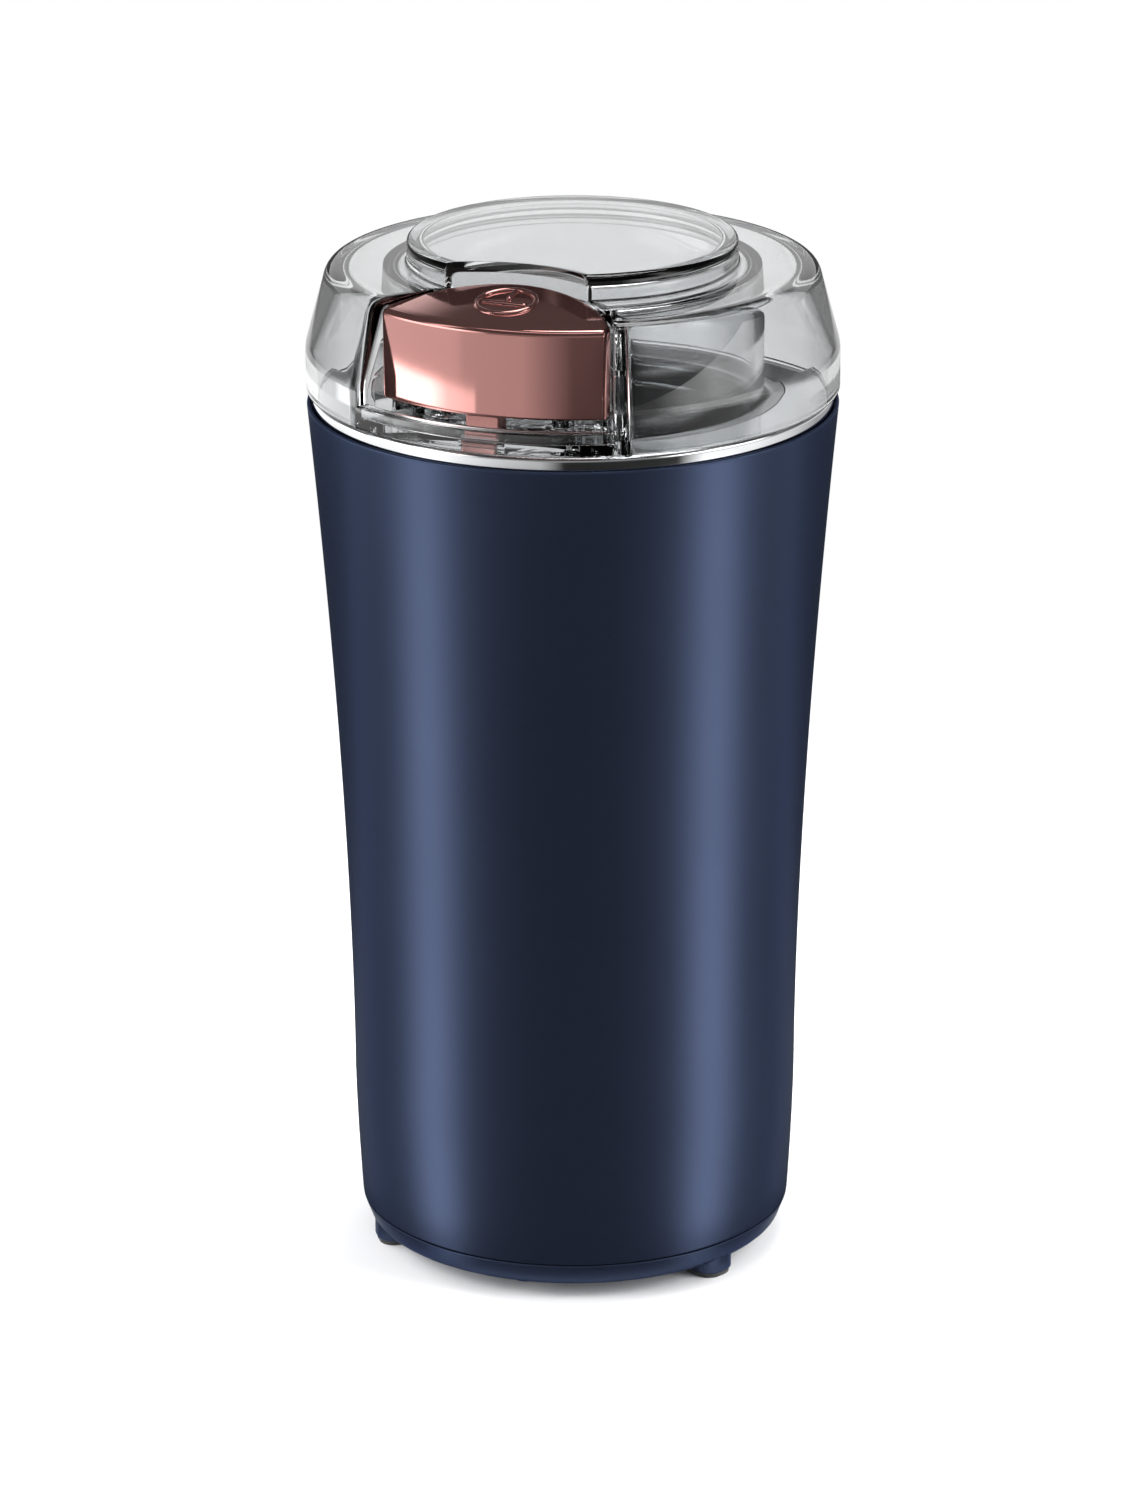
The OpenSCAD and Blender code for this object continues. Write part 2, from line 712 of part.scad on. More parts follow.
module lower_bracket() {
    arm_turn = atan2(screw_y, screw_x);
    arm_len = norm([screw_x, screw_y]);
    color(inner_black) difference() {
        union() {
            at_corners() translate([0, 0, lower_z - pillar_foot])
                cylinder(r = boss_r, h = stator_z - lower_z + pillar_foot);
            for (s = [-1, 1]) rotate([0, 0, s * arm_turn])
                translate([0, 0, lower_z + 0.2]) block(2 * arm_len, 6.4, lower_t - 0.7);
            translate([0, 0, lower_z - 0.4]) block(12.4, 2 * holder_out + 1, lower_t + 0.4);
            translate([0, 0, lower_bearing_z - 1]) cylinder(r = 9, h = lower_bearing_h + 1);
        }
        translate([0, 0, lower_bearing_z - 5]) cylinder(r = shaft_r + 0.5, h = 60);
        translate([0, 0, lower_bearing_z]) cylinder(r = bearing_r, h = 60);
        at_corners() translate([0, 0, lower_z - 10]) cylinder(r = 1.6, h = 60);
    }
}

module lower_bearing() {
    color("#a07a3c") translate([0, 0, lower_bearing_z])
        ring(bearing_r, shaft_r + running_fit, lower_bearing_h - 0.5);
}

module at_brushes() {
    for (side = [0, 180]) rotate([0, 0, side]) children();
}

// Brass box guides on the bracket, each closed at its outer end
module brush_holders() {
    outer_w = brush_w + 0.2 + 2 * holder_wall;
    outer_h = brush_h + 0.2 + 2 * holder_wall;
    color("#c9a24c") at_brushes() difference() {
        translate([-outer_w / 2, 11, holder_z]) cube([outer_w, holder_out - 11, outer_h]);
        translate([-brush_w / 2 - 0.1, 10, holder_z + holder_wall])
            cube([brush_w + 0.2, holder_out - 10 - holder_wall, brush_h + 0.2]);
    }
}

brush_tip = commutator_r + 0.1;
brush_len = 10;
module carbon_brushes() {
    color("#3b3b3d") at_brushes() difference() {
        translate([-brush_w / 2, brush_tip - 0.6, holder_z + holder_wall + 0.1])
            cube([brush_w, brush_len + 0.6, brush_h]);
        translate([0, 0, holder_z]) cylinder(r = brush_tip, h = 20);
    }
}

module brush_springs() {
    start = brush_tip + brush_len;
    color(steel) at_brushes()
        translate([0, start, holder_z + holder_wall + 0.1 + brush_h / 2]) rotate([-90, 0, 0])
            coil_spring(1.8, 0.25, 4, holder_out - holder_wall - start);
}

capacitor_w = 26;
capacitor_d = 10;
capacitor_h = 17;
capacitor_y = 26.4;
module capacitor() {
    color("#c8a21e") translate([0, capacitor_y, foot_h + base_floor_t]) union() {
        block(capacitor_w, capacitor_d, capacitor_h);
        for (s = [-1, 1]) translate([s * 11, 0, capacitor_h]) cylinder(r = 0.4, h = 4);
    }
}

// ---- switch and push rod ----

module rod_guide() {
    color("#e6e6e2") translate([0, -rod_out, guide_low_z]) difference() {
        cylinder(r = guide_r - 0.02, h = well_z - guide_low_z);
        translate([0, 0, -1]) cylinder(r = rod_r + running_fit, h = 20);
        translate([0, 0, guide_step_z - guide_low_z]) cylinder(r = head_r + 0.1, h = 20);
    }
}

module push_rod() {
    color("#e9e7e1") translate([0, -rod_out, rod_low_z]) union() {
        cylinder(r = rod_r, h = rod_len);
        translate([0, 0, rod_len - head_h]) cylinder(r = head_r, h = head_h);
    }
}

module rod_spring() {
    color(steel) translate([0, -rod_out, guide_step_z])
        coil_spring(rod_r + 0.4, 0.2, 6, rod_top_z - head_h - guide_step_z);
}

module switch_body() {
    color("#1d1d1f") difference() {
        union() {
            translate([0, switch_y, switch_z]) block(2 * switch_half_w, switch_t, switch_h);
            for (s = [-1, 1])
                translate([s * (switch_half_w + 1.6), rail_y + rail_w / 2 + ear_t / 2, switch_z + 2.5])
                    block(4, ear_t, switch_h - 5);
        }
        translate([0, plunger_y, switch_top_z - 7]) cylinder(r = plunger_r + running_fit, h = 10);
        for (s = [-1, 1])
            translate([s * rail_x, 0, switch_z + switch_h / 2]) rotate([90, 0, 0]) cylinder(r = 1, h = 60);
    }
}

module switch_plunger() {
    color("#b03030") translate([0, plunger_y, 0]) union() {
        translate([0, 0, switch_top_z - 3.5]) cylinder(r = plunger_r, h = plunger_z - switch_top_z + 3.5);
        translate([0, 0, plunger_z - 1.2]) cylinder(r = plunger_cap_r, h = 1.2);
    }
}

module switch_terminals() {
    color("#cdb36a") for (x = [-4, 0, 4])
        translate([x, switch_y, switch_z - 6]) difference() {
            block(2.8, 0.6, 6);
            translate([0, 5, 2.4]) rotate([90, 0, 0]) cylinder(r = 0.6, h = 10);
        }
}

module switch_screws() {
    color(steel) for (s = [-1, 1])
        translate([s * rail_x, rail_y + rail_w / 2 + ear_t + 0.6, switch_z + switch_h / 2])
            rotate([90, 0, 0]) pan_screw(0.9, 3.4, 1.6, 0.6);
}

// ---- rotor ----

module motor_shaft() {
    color("#b9bcc0") union() {
        translate([0, 0, shaft_low_z + 0.5]) cylinder(r = shaft_r, h = shaft_top_z - shaft_low_z - 1);
        translate([0, 0, shaft_low_z]) cylinder(r1 = shaft_r - 0.5, r2 = shaft_r, h = 0.5);
        translate([0, 0, shaft_top_z - 0.5]) cylinder(r1 = shaft_r, r2 = shaft_r - 0.5, h = 0.5);
    }
}

slot_out = core_r - 3.4;
slot_r = 2.1;
module armature_core() {
    color("#8d9196") translate([0, 0, stator_z]) linear_extrude(stator_h) difference() {
        circle(r = core_r);
        circle(r = shaft_r);
        for (i = [0:slots - 1]) rotate(360 * i / slots) {
            translate([slot_out, 0]) circle(r = slot_r, $fn = 24);
            translate([slot_out, -0.6]) square([6, 1.2]);
        }
    }
}

// Wire in the slots, and the round bundles where it crosses over at both ends
module armature_winding() {
    head_h = 5.2;
    color(copper) union() {
        for (i = [0:slots - 1]) rotate([0, 0, 360 * i / slots])
            translate([slot_out, 0, stator_z - 0.5]) cylinder(r = slot_r - 0.1, h = stator_h + 1, $fn = 24);
        for (z = [stator_top_z, stator_z - head_h]) translate([0, 0, z]) rotate_extrude() polygon(concat(
            [[shaft_r + 0.6, 0]],
            arc_points([slot_out + slot_r - 2, 2], 2, -90, 0, 4),
            arc_points([slot_out + slot_r - 2, head_h - 2], 2, 0, 90, 4),
            [[shaft_r + 0.6, head_h]]));
    }
}

commutator_z = holder_z + 0.4;
commutator_h = stator_z - 5.2 - commutator_z - 0.3;
module commutator() {
    color(copper) translate([0, 0, commutator_z]) linear_extrude(commutator_h) difference() {
        circle(r = commutator_r);
        circle(r = shaft_r);
        for (i = [0:bars - 1]) rotate(360 * i / bars) translate([commutator_r - 1.5, -0.2]) square([3, 0.4]);
    }
}

// Plan of one fan blade: it leans back as it goes outwards
module fan_blade() {
    root = 8.5;
    tip = fan_d / 2 - 0.4;
    lean = 38;
    half_t = 0.5;
    function edge(side) = [for (i = [0:6])
        let (r = root + (tip - root) * i / 6, a = lean * pow(i / 6, 1.5) + side * half_t / r * 180 / PI)
        [r * cos(a), -r * sin(a)]];
    polygon(concat(edge(-1), reversed(edge(1))));
}

module cooling_fan() {
    hub_r = 6;
    plate_t = 1.2;
    color("#e4e4df") translate([0, 0, fan_z]) difference() {
        union() {
            cylinder(r = fan_d / 2, h = plate_t);
            cylinder(r = hub_r, h = fan_h + 1);
            for (i = [0:fan_blades - 1]) rotate([0, 0, 360 * i / fan_blades])
                translate([0, 0, plate_t / 2]) linear_extrude(fan_h - plate_t / 2) fan_blade();
        }
        translate([0, 0, -1]) cylinder(r = shaft_r, h = 20);
    }
}

module thrust_washers() {
    lower_face = lower_bearing_z + lower_bearing_h - 0.5;
    color(steel) {
        translate([0, 0, fan_z + fan_h + 1]) ring(4.2, shaft_r, bearing_boss_z - fan_z - fan_h - 1.15);
        translate([0, 0, lower_face + 0.1]) ring(4.2, shaft_r, commutator_z - lower_face - 0.1);
    }
}

module blade_spacer() {
    color(steel) translate([0, 0, spacer_z]) ring(5.5, shaft_r, blade_z - spacer_z);
}

// Plan of one arm: it narrows towards its tip, and its leading edge curves back
module arm_outline() {
    tip_w = blade_w * 0.62;
    polygon(concat(
        [[0, -blade_w / 2], [blade_len * 0.2, -blade_w / 2]],
        arc_points([blade_len / 2 - tip_w * 0.5, tip_w * 0.1 - blade_w * 0.1], tip_w * 0.5, -70, 80, 8),
        [[blade_len * 0.2, blade_w / 2], [0, blade_w / 2]]));
}

module cutting_blade() {
    root = 9;
    grind = 2.2;
    color(steel) translate([0, 0, blade_z]) difference() {
        union() {
            cylinder(r = root, h = blade_t);
            for (side = [0, 180]) rotate([0, 0, side]) difference() {
                translate([5, 0, 0]) rotate([blade_pitch, 0, 0]) translate([-5, 0, 0])
                    linear_extrude(blade_t) arm_outline();
                // The arm starts inside the flat centre
                translate([-20, -20, -10]) cube([20 + root - 1, 40, 20]);
                // Ground leading edge, a bevel along the arm
                translate([root, 0, 0]) rotate([blade_pitch, 0, 0])
                    translate([0, -blade_w / 2 - 3, blade_t]) rotate([-32, 0, 0])
                        translate([0, -4, 0]) cube([40, 4 + 3 + grind, 4]);
            }
        }
        translate([0, 0, -5]) cylinder(r = shaft_r, h = 20);
    }
}

module blade_washer() {
    color(steel) translate([0, 0, blade_z + blade_t]) ring(4.6, shaft_r, 0.8);
}

module blade_nut() {
    color(steel) translate([0, 0, blade_nut_z]) difference() {
        union() {
            cylinder(r = 4.6, h = 3, $fn = 6);
            translate([0, 0, 3]) cylinder(r1 = 3.9, r2 = 2.4, h = 1.4);
        }
        translate([0, 0, -1]) cylinder(r = shaft_r, h = shaft_top_z - blade_nut_z + 1.05);
    }
}

// ---- lid and button ----

// Outside of the lid, from its lower edge to the middle of its top
function lid_outside() = concat(
    [[lid_r, lid_z], [lid_r, crease_z]],
    arc_points([slope_r - 1.75, slope_z - 0.75], 2.0, 20, 80, 6),
    [[disc_r, plateau_z], [disc_r, plateau_z + disc_h - disc_round]],
    arc_points([disc_r - disc_round, plateau_z + disc_h - disc_round], disc_round, 15, 90, 5),
    [[0, plateau_z + disc_h]]);

// The lid as a turned shell: outer wall, roof, raised disc and the inner wall that enters the bowl
module lid_turned() {
    roof_z = plateau_z - lid_wall;
    rotate_extrude() polygon(concat(
        lid_outside(),
        [[0, plateau_z + disc_h - lid_wall],
         [disc_r - lid_wall, plateau_z + disc_h - lid_wall],
         [disc_r - lid_wall, roof_z],
         [chamber_r - chamber_wall, roof_z],
         [chamber_r - chamber_wall, lip_z],
         [chamber_r - 0.4, lip_z],
         [chamber_r, lip_z + 1.2],
         [chamber_r, roof_z],
         [slope_r - lid_wall - 0.4, roof_z],
         [lid_r - lid_wall, crease_z - 0.4],
         [lid_r - lid_wall, lid_z]]));
}

module lid_filled() {
    rotate_extrude() polygon(concat(lid_outside(), [[0, lid_z]]));
}

module pocket_round(r, low, high) {
    translate([0, -pocket_out, low]) cylinder(r = r, h = high - low);
}

module at_lugs() {
    for (s = [-1, 1])
        translate([0, -pocket_out, 0]) rotate([0, 0, 90 - s * lug_turn]) children();
}

module clear_lid() {
    slot_top = lug_z + lug_h + loose_fit;
    slot_low = lug_z - press_travel - loose_fit;
    color(clear) difference() {
        union() {
            difference() {
                union() {
                    lid_turned();
                    intersection() {
                        pocket_round(pocket_r + pocket_wall, lid_z, 250);
                        lid_filled();
                    }
                }
                // The pocket, open upwards and to the front above the sill
                pocket_round(pocket_r, sill_z, 250);
                intersection() {
                    pocket_round(pocket_r, floor_z, sill_z + 1);
                    cylinder(r = lid_r - lid_wall, h = 250);
                }
                // The bowl's side of the pocket's floor is open down to the lip
                intersection() {
                    translate([0, 0, lid_z - 1]) cylinder(r = chamber_r - chamber_wall, h = 1);
                    pocket_round(pocket_r + 3, 0, lid_z);
                }
            }
            // Pins that centre the springs
            for (s = [-1, 1]) translate([s * spring_x, spring_y, floor_z - 0.5]) cylinder(r = 1.5, h = 3);
        }
        // Slot for the tab
        translate([-tab_w / 2 - loose_fit, -tab_out - loose_fit, lid_z - 1])
            cube([tab_w + 2 * loose_fit, tab_t + 2 * loose_fit, floor_t + 2]);
        // Slots for the lugs
        at_lugs() translate([pocket_r - 1, -lug_w / 2 - loose_fit, slot_low])
            cube([pocket_wall + 2, lug_w + 2 * loose_fit, slot_top - slot_low]);
    }
}

// Lens in plan, between the pocket's circle and the front face, under a shallow cone
module button_lens(inset, low, top_drop) {
    r = front_r - inset;
    intersection() {
        rotate_extrude() polygon([
            [0, low], [r, low],
            [r, button_edge_z - edge_chamfer - top_drop],
            [r - edge_chamfer, button_edge_z - top_drop],
            [0, button_edge_z + top_rise - top_drop]]);
        pocket_round(pocket_r - loose_fit - inset, low - 1, 250);
        translate([0, -pocket_out, low - 1]) block(2 * (button_half_w - inset), 60, 60);
    }
}

module press_button() {
    color(rose_gold) difference() {
        union() {
            button_lens(0, button_low_z, 0);
            // Tab that reaches the push rod
            translate([-tab_w / 2, -tab_out, tab_low_z]) cube([tab_w, tab_t, button_low_z - tab_low_z + 2]);
            at_lugs() translate([pocket_r - loose_fit - 1, -lug_w / 2, lug_z])
                cube([1 + loose_fit + lug_reach, lug_w, lug_h]);
        }
        difference() {
            button_lens(button_wall, button_low_z - 1, button_wall);
            // The tab's root stays solid
            translate([-tab_w / 2, -tab_out, 0]) cube([tab_w, tab_t, button_low_z + 2]);
        }
    }
}

module button_springs() {
    top = button_edge_z + top_rise * (1 - 37 / front_r) - button_wall - 0.6;
    color(steel) for (s = [-1, 1])
        translate([s * spring_x, spring_y, floor_z])
            coil_spring(spring_r, button_spring_wire / 2, 8, top - floor_z);
}

body_shell();
base_cover();
foot_pads();
base_screws();
cord_inlet();
bowl_carrier();
carrier_screws();
steel_ring();
grinding_bowl();
bowl_gasket();
bowl_washer();
bowl_nut();
shaft_seal();
upper_bracket();
bracket_grommets();
bracket_screws();
upper_bearing();
stator_core();
field_coils();
thermal_cutout();
stator_screws();
lower_bracket();
lower_bearing();
brush_holders();
carbon_brushes();
brush_springs();
capacitor();
rod_guide();
rod_spring();
switch_body();
switch_terminals();
switch_screws();
push_rod();
switch_plunger();
motor_shaft();
armature_core();
armature_winding();
commutator();
cooling_fan();
thrust_washers();
blade_spacer();
cutting_blade();
blade_washer();
blade_nut();
clear_lid();
button_springs();
press_button();
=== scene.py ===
"""Electric spice grinder: the visible pieces, their materials and a plain studio round them.

Metres, +Z up. The lid's axis is the Z axis, the button faces -Y and the feet stand on z = 0. The pieces'
own dimensions are in millimetres, and MM turns them into metres.
"""
import math

import bmesh
import bpy
import numpy as np
from mathutils import Matrix


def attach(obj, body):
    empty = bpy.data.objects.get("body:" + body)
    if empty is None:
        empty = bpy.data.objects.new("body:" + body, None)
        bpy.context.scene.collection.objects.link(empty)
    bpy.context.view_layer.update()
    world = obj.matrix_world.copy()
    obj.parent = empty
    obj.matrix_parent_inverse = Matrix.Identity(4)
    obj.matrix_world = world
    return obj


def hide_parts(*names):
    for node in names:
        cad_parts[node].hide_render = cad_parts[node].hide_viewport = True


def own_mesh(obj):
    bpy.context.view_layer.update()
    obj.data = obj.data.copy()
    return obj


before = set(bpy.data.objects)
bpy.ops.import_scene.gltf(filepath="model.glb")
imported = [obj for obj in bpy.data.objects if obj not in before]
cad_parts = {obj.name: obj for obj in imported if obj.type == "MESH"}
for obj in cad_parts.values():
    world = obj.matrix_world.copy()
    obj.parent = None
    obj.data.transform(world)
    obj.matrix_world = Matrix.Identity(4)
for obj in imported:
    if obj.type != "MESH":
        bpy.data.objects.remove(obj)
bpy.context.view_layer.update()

scene = bpy.context.scene
scene.view_settings.view_transform = "Standard"
MM = 0.001

# ---- Camera ----
# Stands 1.17 m away, 19 degrees above the table, and sees the button a little to the left.
camera_turn = math.radians(21.7)
camera_out, camera_z = 1.080, 0.46476
pitch, yaw, roll = (math.radians(a) for a in (19.03, -0.11, -0.19))


def about_z(vector, angle):
    """The vector turned by the angle about the Z axis."""
    c, s = math.cos(angle), math.sin(angle)
    x, y, z = vector
    return np.array([c * x - s * y, s * x + c * y, z])


forward = np.array([math.sin(yaw) * math.cos(pitch), math.cos(yaw) * math.cos(pitch), -math.sin(pitch)])
level = np.cross(forward, [0, 0, 1])
level /= np.linalg.norm(level)
upward = np.cross(level, forward)
right = math.cos(roll) * level + math.sin(roll) * upward
top = math.cos(roll) * upward - math.sin(roll) * level
camera_data = bpy.data.cameras.new("camera")
camera_data.sensor_width = 36
camera_data.lens = 151.07
camera = bpy.data.objects.new("camera", camera_data)
place = np.eye(4)
for column, vector in enumerate((right, top, -forward, (0, -camera_out, camera_z))):
    place[:3, column] = about_z(vector, camera_turn)
camera.matrix_world = Matrix(place)
scene.collection.objects.link(camera)
scene.camera = camera

# ---- Studio ----
# A pale table, four tall soft boxes round the grinder and a lamp above it. What its glossy and clear
# pieces mirror comes from two surfaces that the camera doesn't see: a band close round the grinder,
# and a dome over the table.


def new_material(name):
    """A material with its nodes cleared, its node tree and its output."""
    material = bpy.data.materials.new(name)
    material.use_nodes = True
    tree = material.node_tree
    tree.nodes.clear()
    return material, tree, tree.nodes.new("ShaderNodeOutputMaterial")


def add(tree, kind, *wires, **values):
    """A new node of the tree, with its first inputs wired in order. A value whose name starts with a
    capital goes to an input, and any other is a setting of the node."""
    node = tree.nodes.new(kind)
    for name, value in values.items():
        if name[0].isupper():
            node.inputs[name.replace("_", " ")].default_value = value
        else:
            setattr(node, name, value)
    for wire, socket in zip(wires, node.inputs):
        tree.links.new(wire, socket)
    return node


def quads(rows, around, wrap_rows=False):
    """Corner numbers of the quads of a grid with that many rows and points around."""
    i = np.arange(rows if wrap_rows else rows - 1)
    i, j = (a.ravel() for a in np.meshgrid(i, np.arange(around), indexing="ij"))
    n, m = (i + 1) % rows, (j + 1) % around
    return np.stack([i * around + j, i * around + m, n * around + m, n * around + j], 1)


def new_object(name, points, faces, smooth_below=40):
    """An object from points and faces of 3 or 4 corners, its faces turned outwards, smooth below an angle."""
    mesh = bpy.data.meshes.new(name)
    mesh.from_pydata(np.asarray(points).tolist(), [], [list(f) for f in faces])
    mesh.update()
    corners = np.zeros(len(mesh.vertices) * 3)
    mesh.vertices.foreach_get("co", corners)
    corners = corners.reshape(-1, 3)
    mesh.calc_loop_triangles()
    triangles = np.zeros(len(mesh.loop_triangles) * 3, int)
    mesh.loop_triangles.foreach_get("vertices", triangles)
    a, b, c = (corners[k] for k in triangles.reshape(-1, 3).T)
    if np.einsum("ij,ij->i", a, np.cross(b, c)).sum() < 0:
        mesh.flip_normals()
    mesh.polygons.foreach_set("use_smooth", np.ones(len(mesh.polygons), bool))
    mesh.set_sharp_from_angle(angle=math.radians(smooth_below))
    obj = bpy.data.objects.new(name, mesh)
    scene.collection.objects.link(obj)
    return obj


# The table is matt under the grinder's shadow, fades to a white glow round it, and is clear from below
table_r, shadow_r, white_r = 3.0, 0.1, 0.42
table = new_object("table", [(x * table_r, y * table_r, 0) for x, y in ((-1, -1), (1, -1), (1, 1), (-1, 1))],
                   [(0, 1, 2, 3)])
material, tree, output = new_material("table_white")
where = add(tree, "ShaderNodeTexCoord")
length = add(tree, "ShaderNodeVectorMath", where.outputs["Object"], operation="LENGTH")
fade = add(tree, "ShaderNodeMapRange", length.outputs["Value"], interpolation_type="SMOOTHSTEP",
           From_Min=shadow_r, From_Max=white_r)
matt = add(tree, "ShaderNodeBsdfDiffuse", Color=(0.86, 0.86, 0.87, 1))
white = add(tree, "ShaderNodeEmission", Color=(1, 1, 1, 1), Strength=1)
upper = add(tree, "ShaderNodeMixShader", fade.outputs["Result"], matt.outputs[0], white.outputs[0])
side, clear = add(tree, "ShaderNodeNewGeometry"), add(tree, "ShaderNodeBsdfTransparent")
one_sided = add(tree, "ShaderNodeMixShader", side.outputs["Backfacing"], upper.outputs[0], clear.outputs[0])
tree.links.new(one_sided.outputs[0], output.inputs["Surface"])
table.data.materials.append(material)

# The world is white to the camera and to mirrored and refracted rays, and a dimmer light to all others
world = bpy.data.worlds.new("surround")
world.use_nodes = True
scene.world = world
tree = world.node_tree
tree.nodes.clear()
ray = add(tree, "ShaderNodeLightPath").outputs
seen = add(tree, "ShaderNodeMath", ray["Is Camera Ray"], ray["Is Glossy Ray"], operation="MAXIMUM")
seen_too = add(tree, "ShaderNodeMath", seen.outputs[0], ray["Is Transmission Ray"], operation="MAXIMUM")
dim = add(tree, "ShaderNodeBackground", Color=(1, 1, 1, 1), Strength=0.55)
bright = add(tree, "ShaderNodeBackground", Color=(1, 1, 1, 1))
mixed = add(tree, "ShaderNodeMixShader", seen_too.outputs[0], dim.outputs[0], bright.outputs[0])
add(tree, "ShaderNodeOutputWorld", mixed.outputs[0])


def soft_box(name, turn, out, height, width, tall, power, aim_z=0.1):
    """A rectangular lamp at that turn from the camera's side, facing the grinder."""
    lamp = bpy.data.lights.new(name, "AREA")
    lamp.shape = "RECTANGLE"
    lamp.size, lamp.size_y, lamp.energy = width, tall, power
    obj = bpy.data.objects.new(name, lamp)
    at = about_z((0, -out, height), camera_turn + math.radians(turn))
    away = at - np.array([0, 0, aim_z])
    away /= np.linalg.norm(away)
    side = np.cross([0, 0, 1], away)
    side /= np.linalg.norm(side)
    matrix = np.eye(4)
    for column, vector in enumerate((side, np.cross(away, side), away, at)):
        matrix[:3, column] = vector
    obj.matrix_world = Matrix(matrix)
    scene.collection.objects.link(obj)
    return obj


for name, turn, power in (("box_left", -70, 15), ("box_right", 70, 15), ("box_back_left", -120, 9),
                          ("box_back_right", 120, 9)):
    # What is mirrored of them is on the band
    lamp = soft_box(name, turn, out=1.0, height=0.45, width=0.5, tall=1.0, power=power)
    lamp.visible_glossy = lamp.visible_transmission = False
soft_box("lamp_above", 150, out=0.35, height=1.3, width=0.6, tall=0.6, power=6)


def between(x, stops):
    """The value at x of a line through (x, value) stops."""
    places, values = np.array(stops, float).T
    return np.interp(x, places, values)


def step(x, edge, width):
    """0 below the edge and 1 above it, with a smooth rise over the width."""
    t = np.clip((x - edge) / width + 0.5, 0, 1)
    return t * t * (3 - 2 * t)


def mirrored_glow(turn, height):
    """Strength of the light that a mirror ray brings back off the grinder, by the turn of the ray from the
    camera's side in degrees, and by the height in millimetres at which it leaves the grinder. Two soft
    stripes light the sleeve, a wide dark card stands before the ring, and the button has a bright left
    half with a white card low on it."""
    parting_low, sleeve_top, button_foot, disc_foot = 7.5, 158.8, 165.6, 186
    # The sleeve widens upwards from its waist, and the stripes run straight up it
    waist_z, flare_h, widening, stripes_at = 33, 125.7, 0.173, 1.033
    wide = 1 + widening * np.clip((height - waist_z) / flare_h, 0, 1) ** 1.7
    across = np.sin(np.radians(turn / 2)) * np.where(height < sleeve_top, wide / stripes_at, 1)
    turn_below = 2 * np.degrees(np.arcsin(np.clip(across, -1, 1)))
    sleeve = between(turn_below, [
        (-180, 0.05), (-150, 0.1), (-132, 0.9), (-116, 0.3), (-98, 0.35), (-77, 4.2), (-58, 0.5), (-44, 0.15),
        (-20, 0.02), (20, 0.02), (42, 0.15), (54, 0.5), (73, 4.2), (94, 0.35), (116, 0.3), (132, 0.9),
        (150, 0.1), (180, 0.05)])
    ring = between(turn, [
        (-180, 1.3), (-60, 1.3), (-28, 0.75), (-14, 0.6), (-4, 0.02), (46, 0.03), (58, 1.2), (84, 1.2),
        (134, 0.4), (180, 0.4)])
    face = between(turn, [
        (-180, 0.8), (-110, 1.1), (-60, 1.02), (-56, 0.95), (-53, 0.8), (-24, 0.74), (-12, 0.4), (0, 0.12),
        (30, 0.09), (60, 0.5), (110, 0.8), (180, 0.8)])
    card = between(turn, [(-100, 4.5), (-72, 4.5), (-62, 2.4), (-48, 1.9)])
    card_top, card_right, card_left = 173.6 - (turn + 102) * 0.054, -47.4, -120
    on_card = (1 - step(turn, card_right, 1)) * (1 - step(height, card_top, 0.3)) * step(turn, card_left, 6)
    face = face + (card - face) * on_card
    rim = between(turn, [
        (-180, 0.1), (-100, 0.2), (-85, 3), (-55, 3), (-40, 0.3), (35, 0.3), (50, 3), (80, 3), (95, 0.2),
        (180, 0.1)])
    # Up the grinder: the dimmer base, the sleeve, the ring, the button and the disc's edge
    glow = sleeve * (0.35 + 0.65 * step(height, parting_low, 1))
    glow = glow + (ring - glow) * step(height, sleeve_top, 0.5)
    glow = glow + (face - glow) * step(height, button_foot, 0.8)
    return glow + (rim - glow) * step(height, disc_foot, 4)


def glowing(name, grid, glow, mirrored_only=False):
    """A surface of the studio through a grid of points, each with its own strength of light, which only
    glossy and clear surfaces see. Where it is mirrored only, it is clear to light that no surface has
    mirrored."""
    obj = new_object(name, grid.reshape(-1, 3), quads(*glow.shape))
    values = obj.data.attributes.new("glow", "FLOAT", "POINT").data
    values.foreach_set("value", glow.ravel().astype(np.float32))
    material, tree, output = new_material(name)
    strength, shown = add(tree, "ShaderNodeAttribute", attribute_name="glow"), add(tree, "ShaderNodeEmission")
    tree.links.new(strength.outputs["Fac"], shown.inputs["Strength"])
    if mirrored_only:
        path, clear = add(tree, "ShaderNodeLightPath"), add(tree, "ShaderNodeBsdfTransparent")
        shown = add(tree, "ShaderNodeMixShader", path.outputs["Glossy Depth"], clear.outputs[0],
                    shown.outputs[0])
    tree.links.new(shown.outputs[0], output.inputs["Surface"])
    obj.data.materials.append(material)
    obj.visible_camera = obj.visible_diffuse = obj.visible_shadow = obj.visible_volume_scatter = False


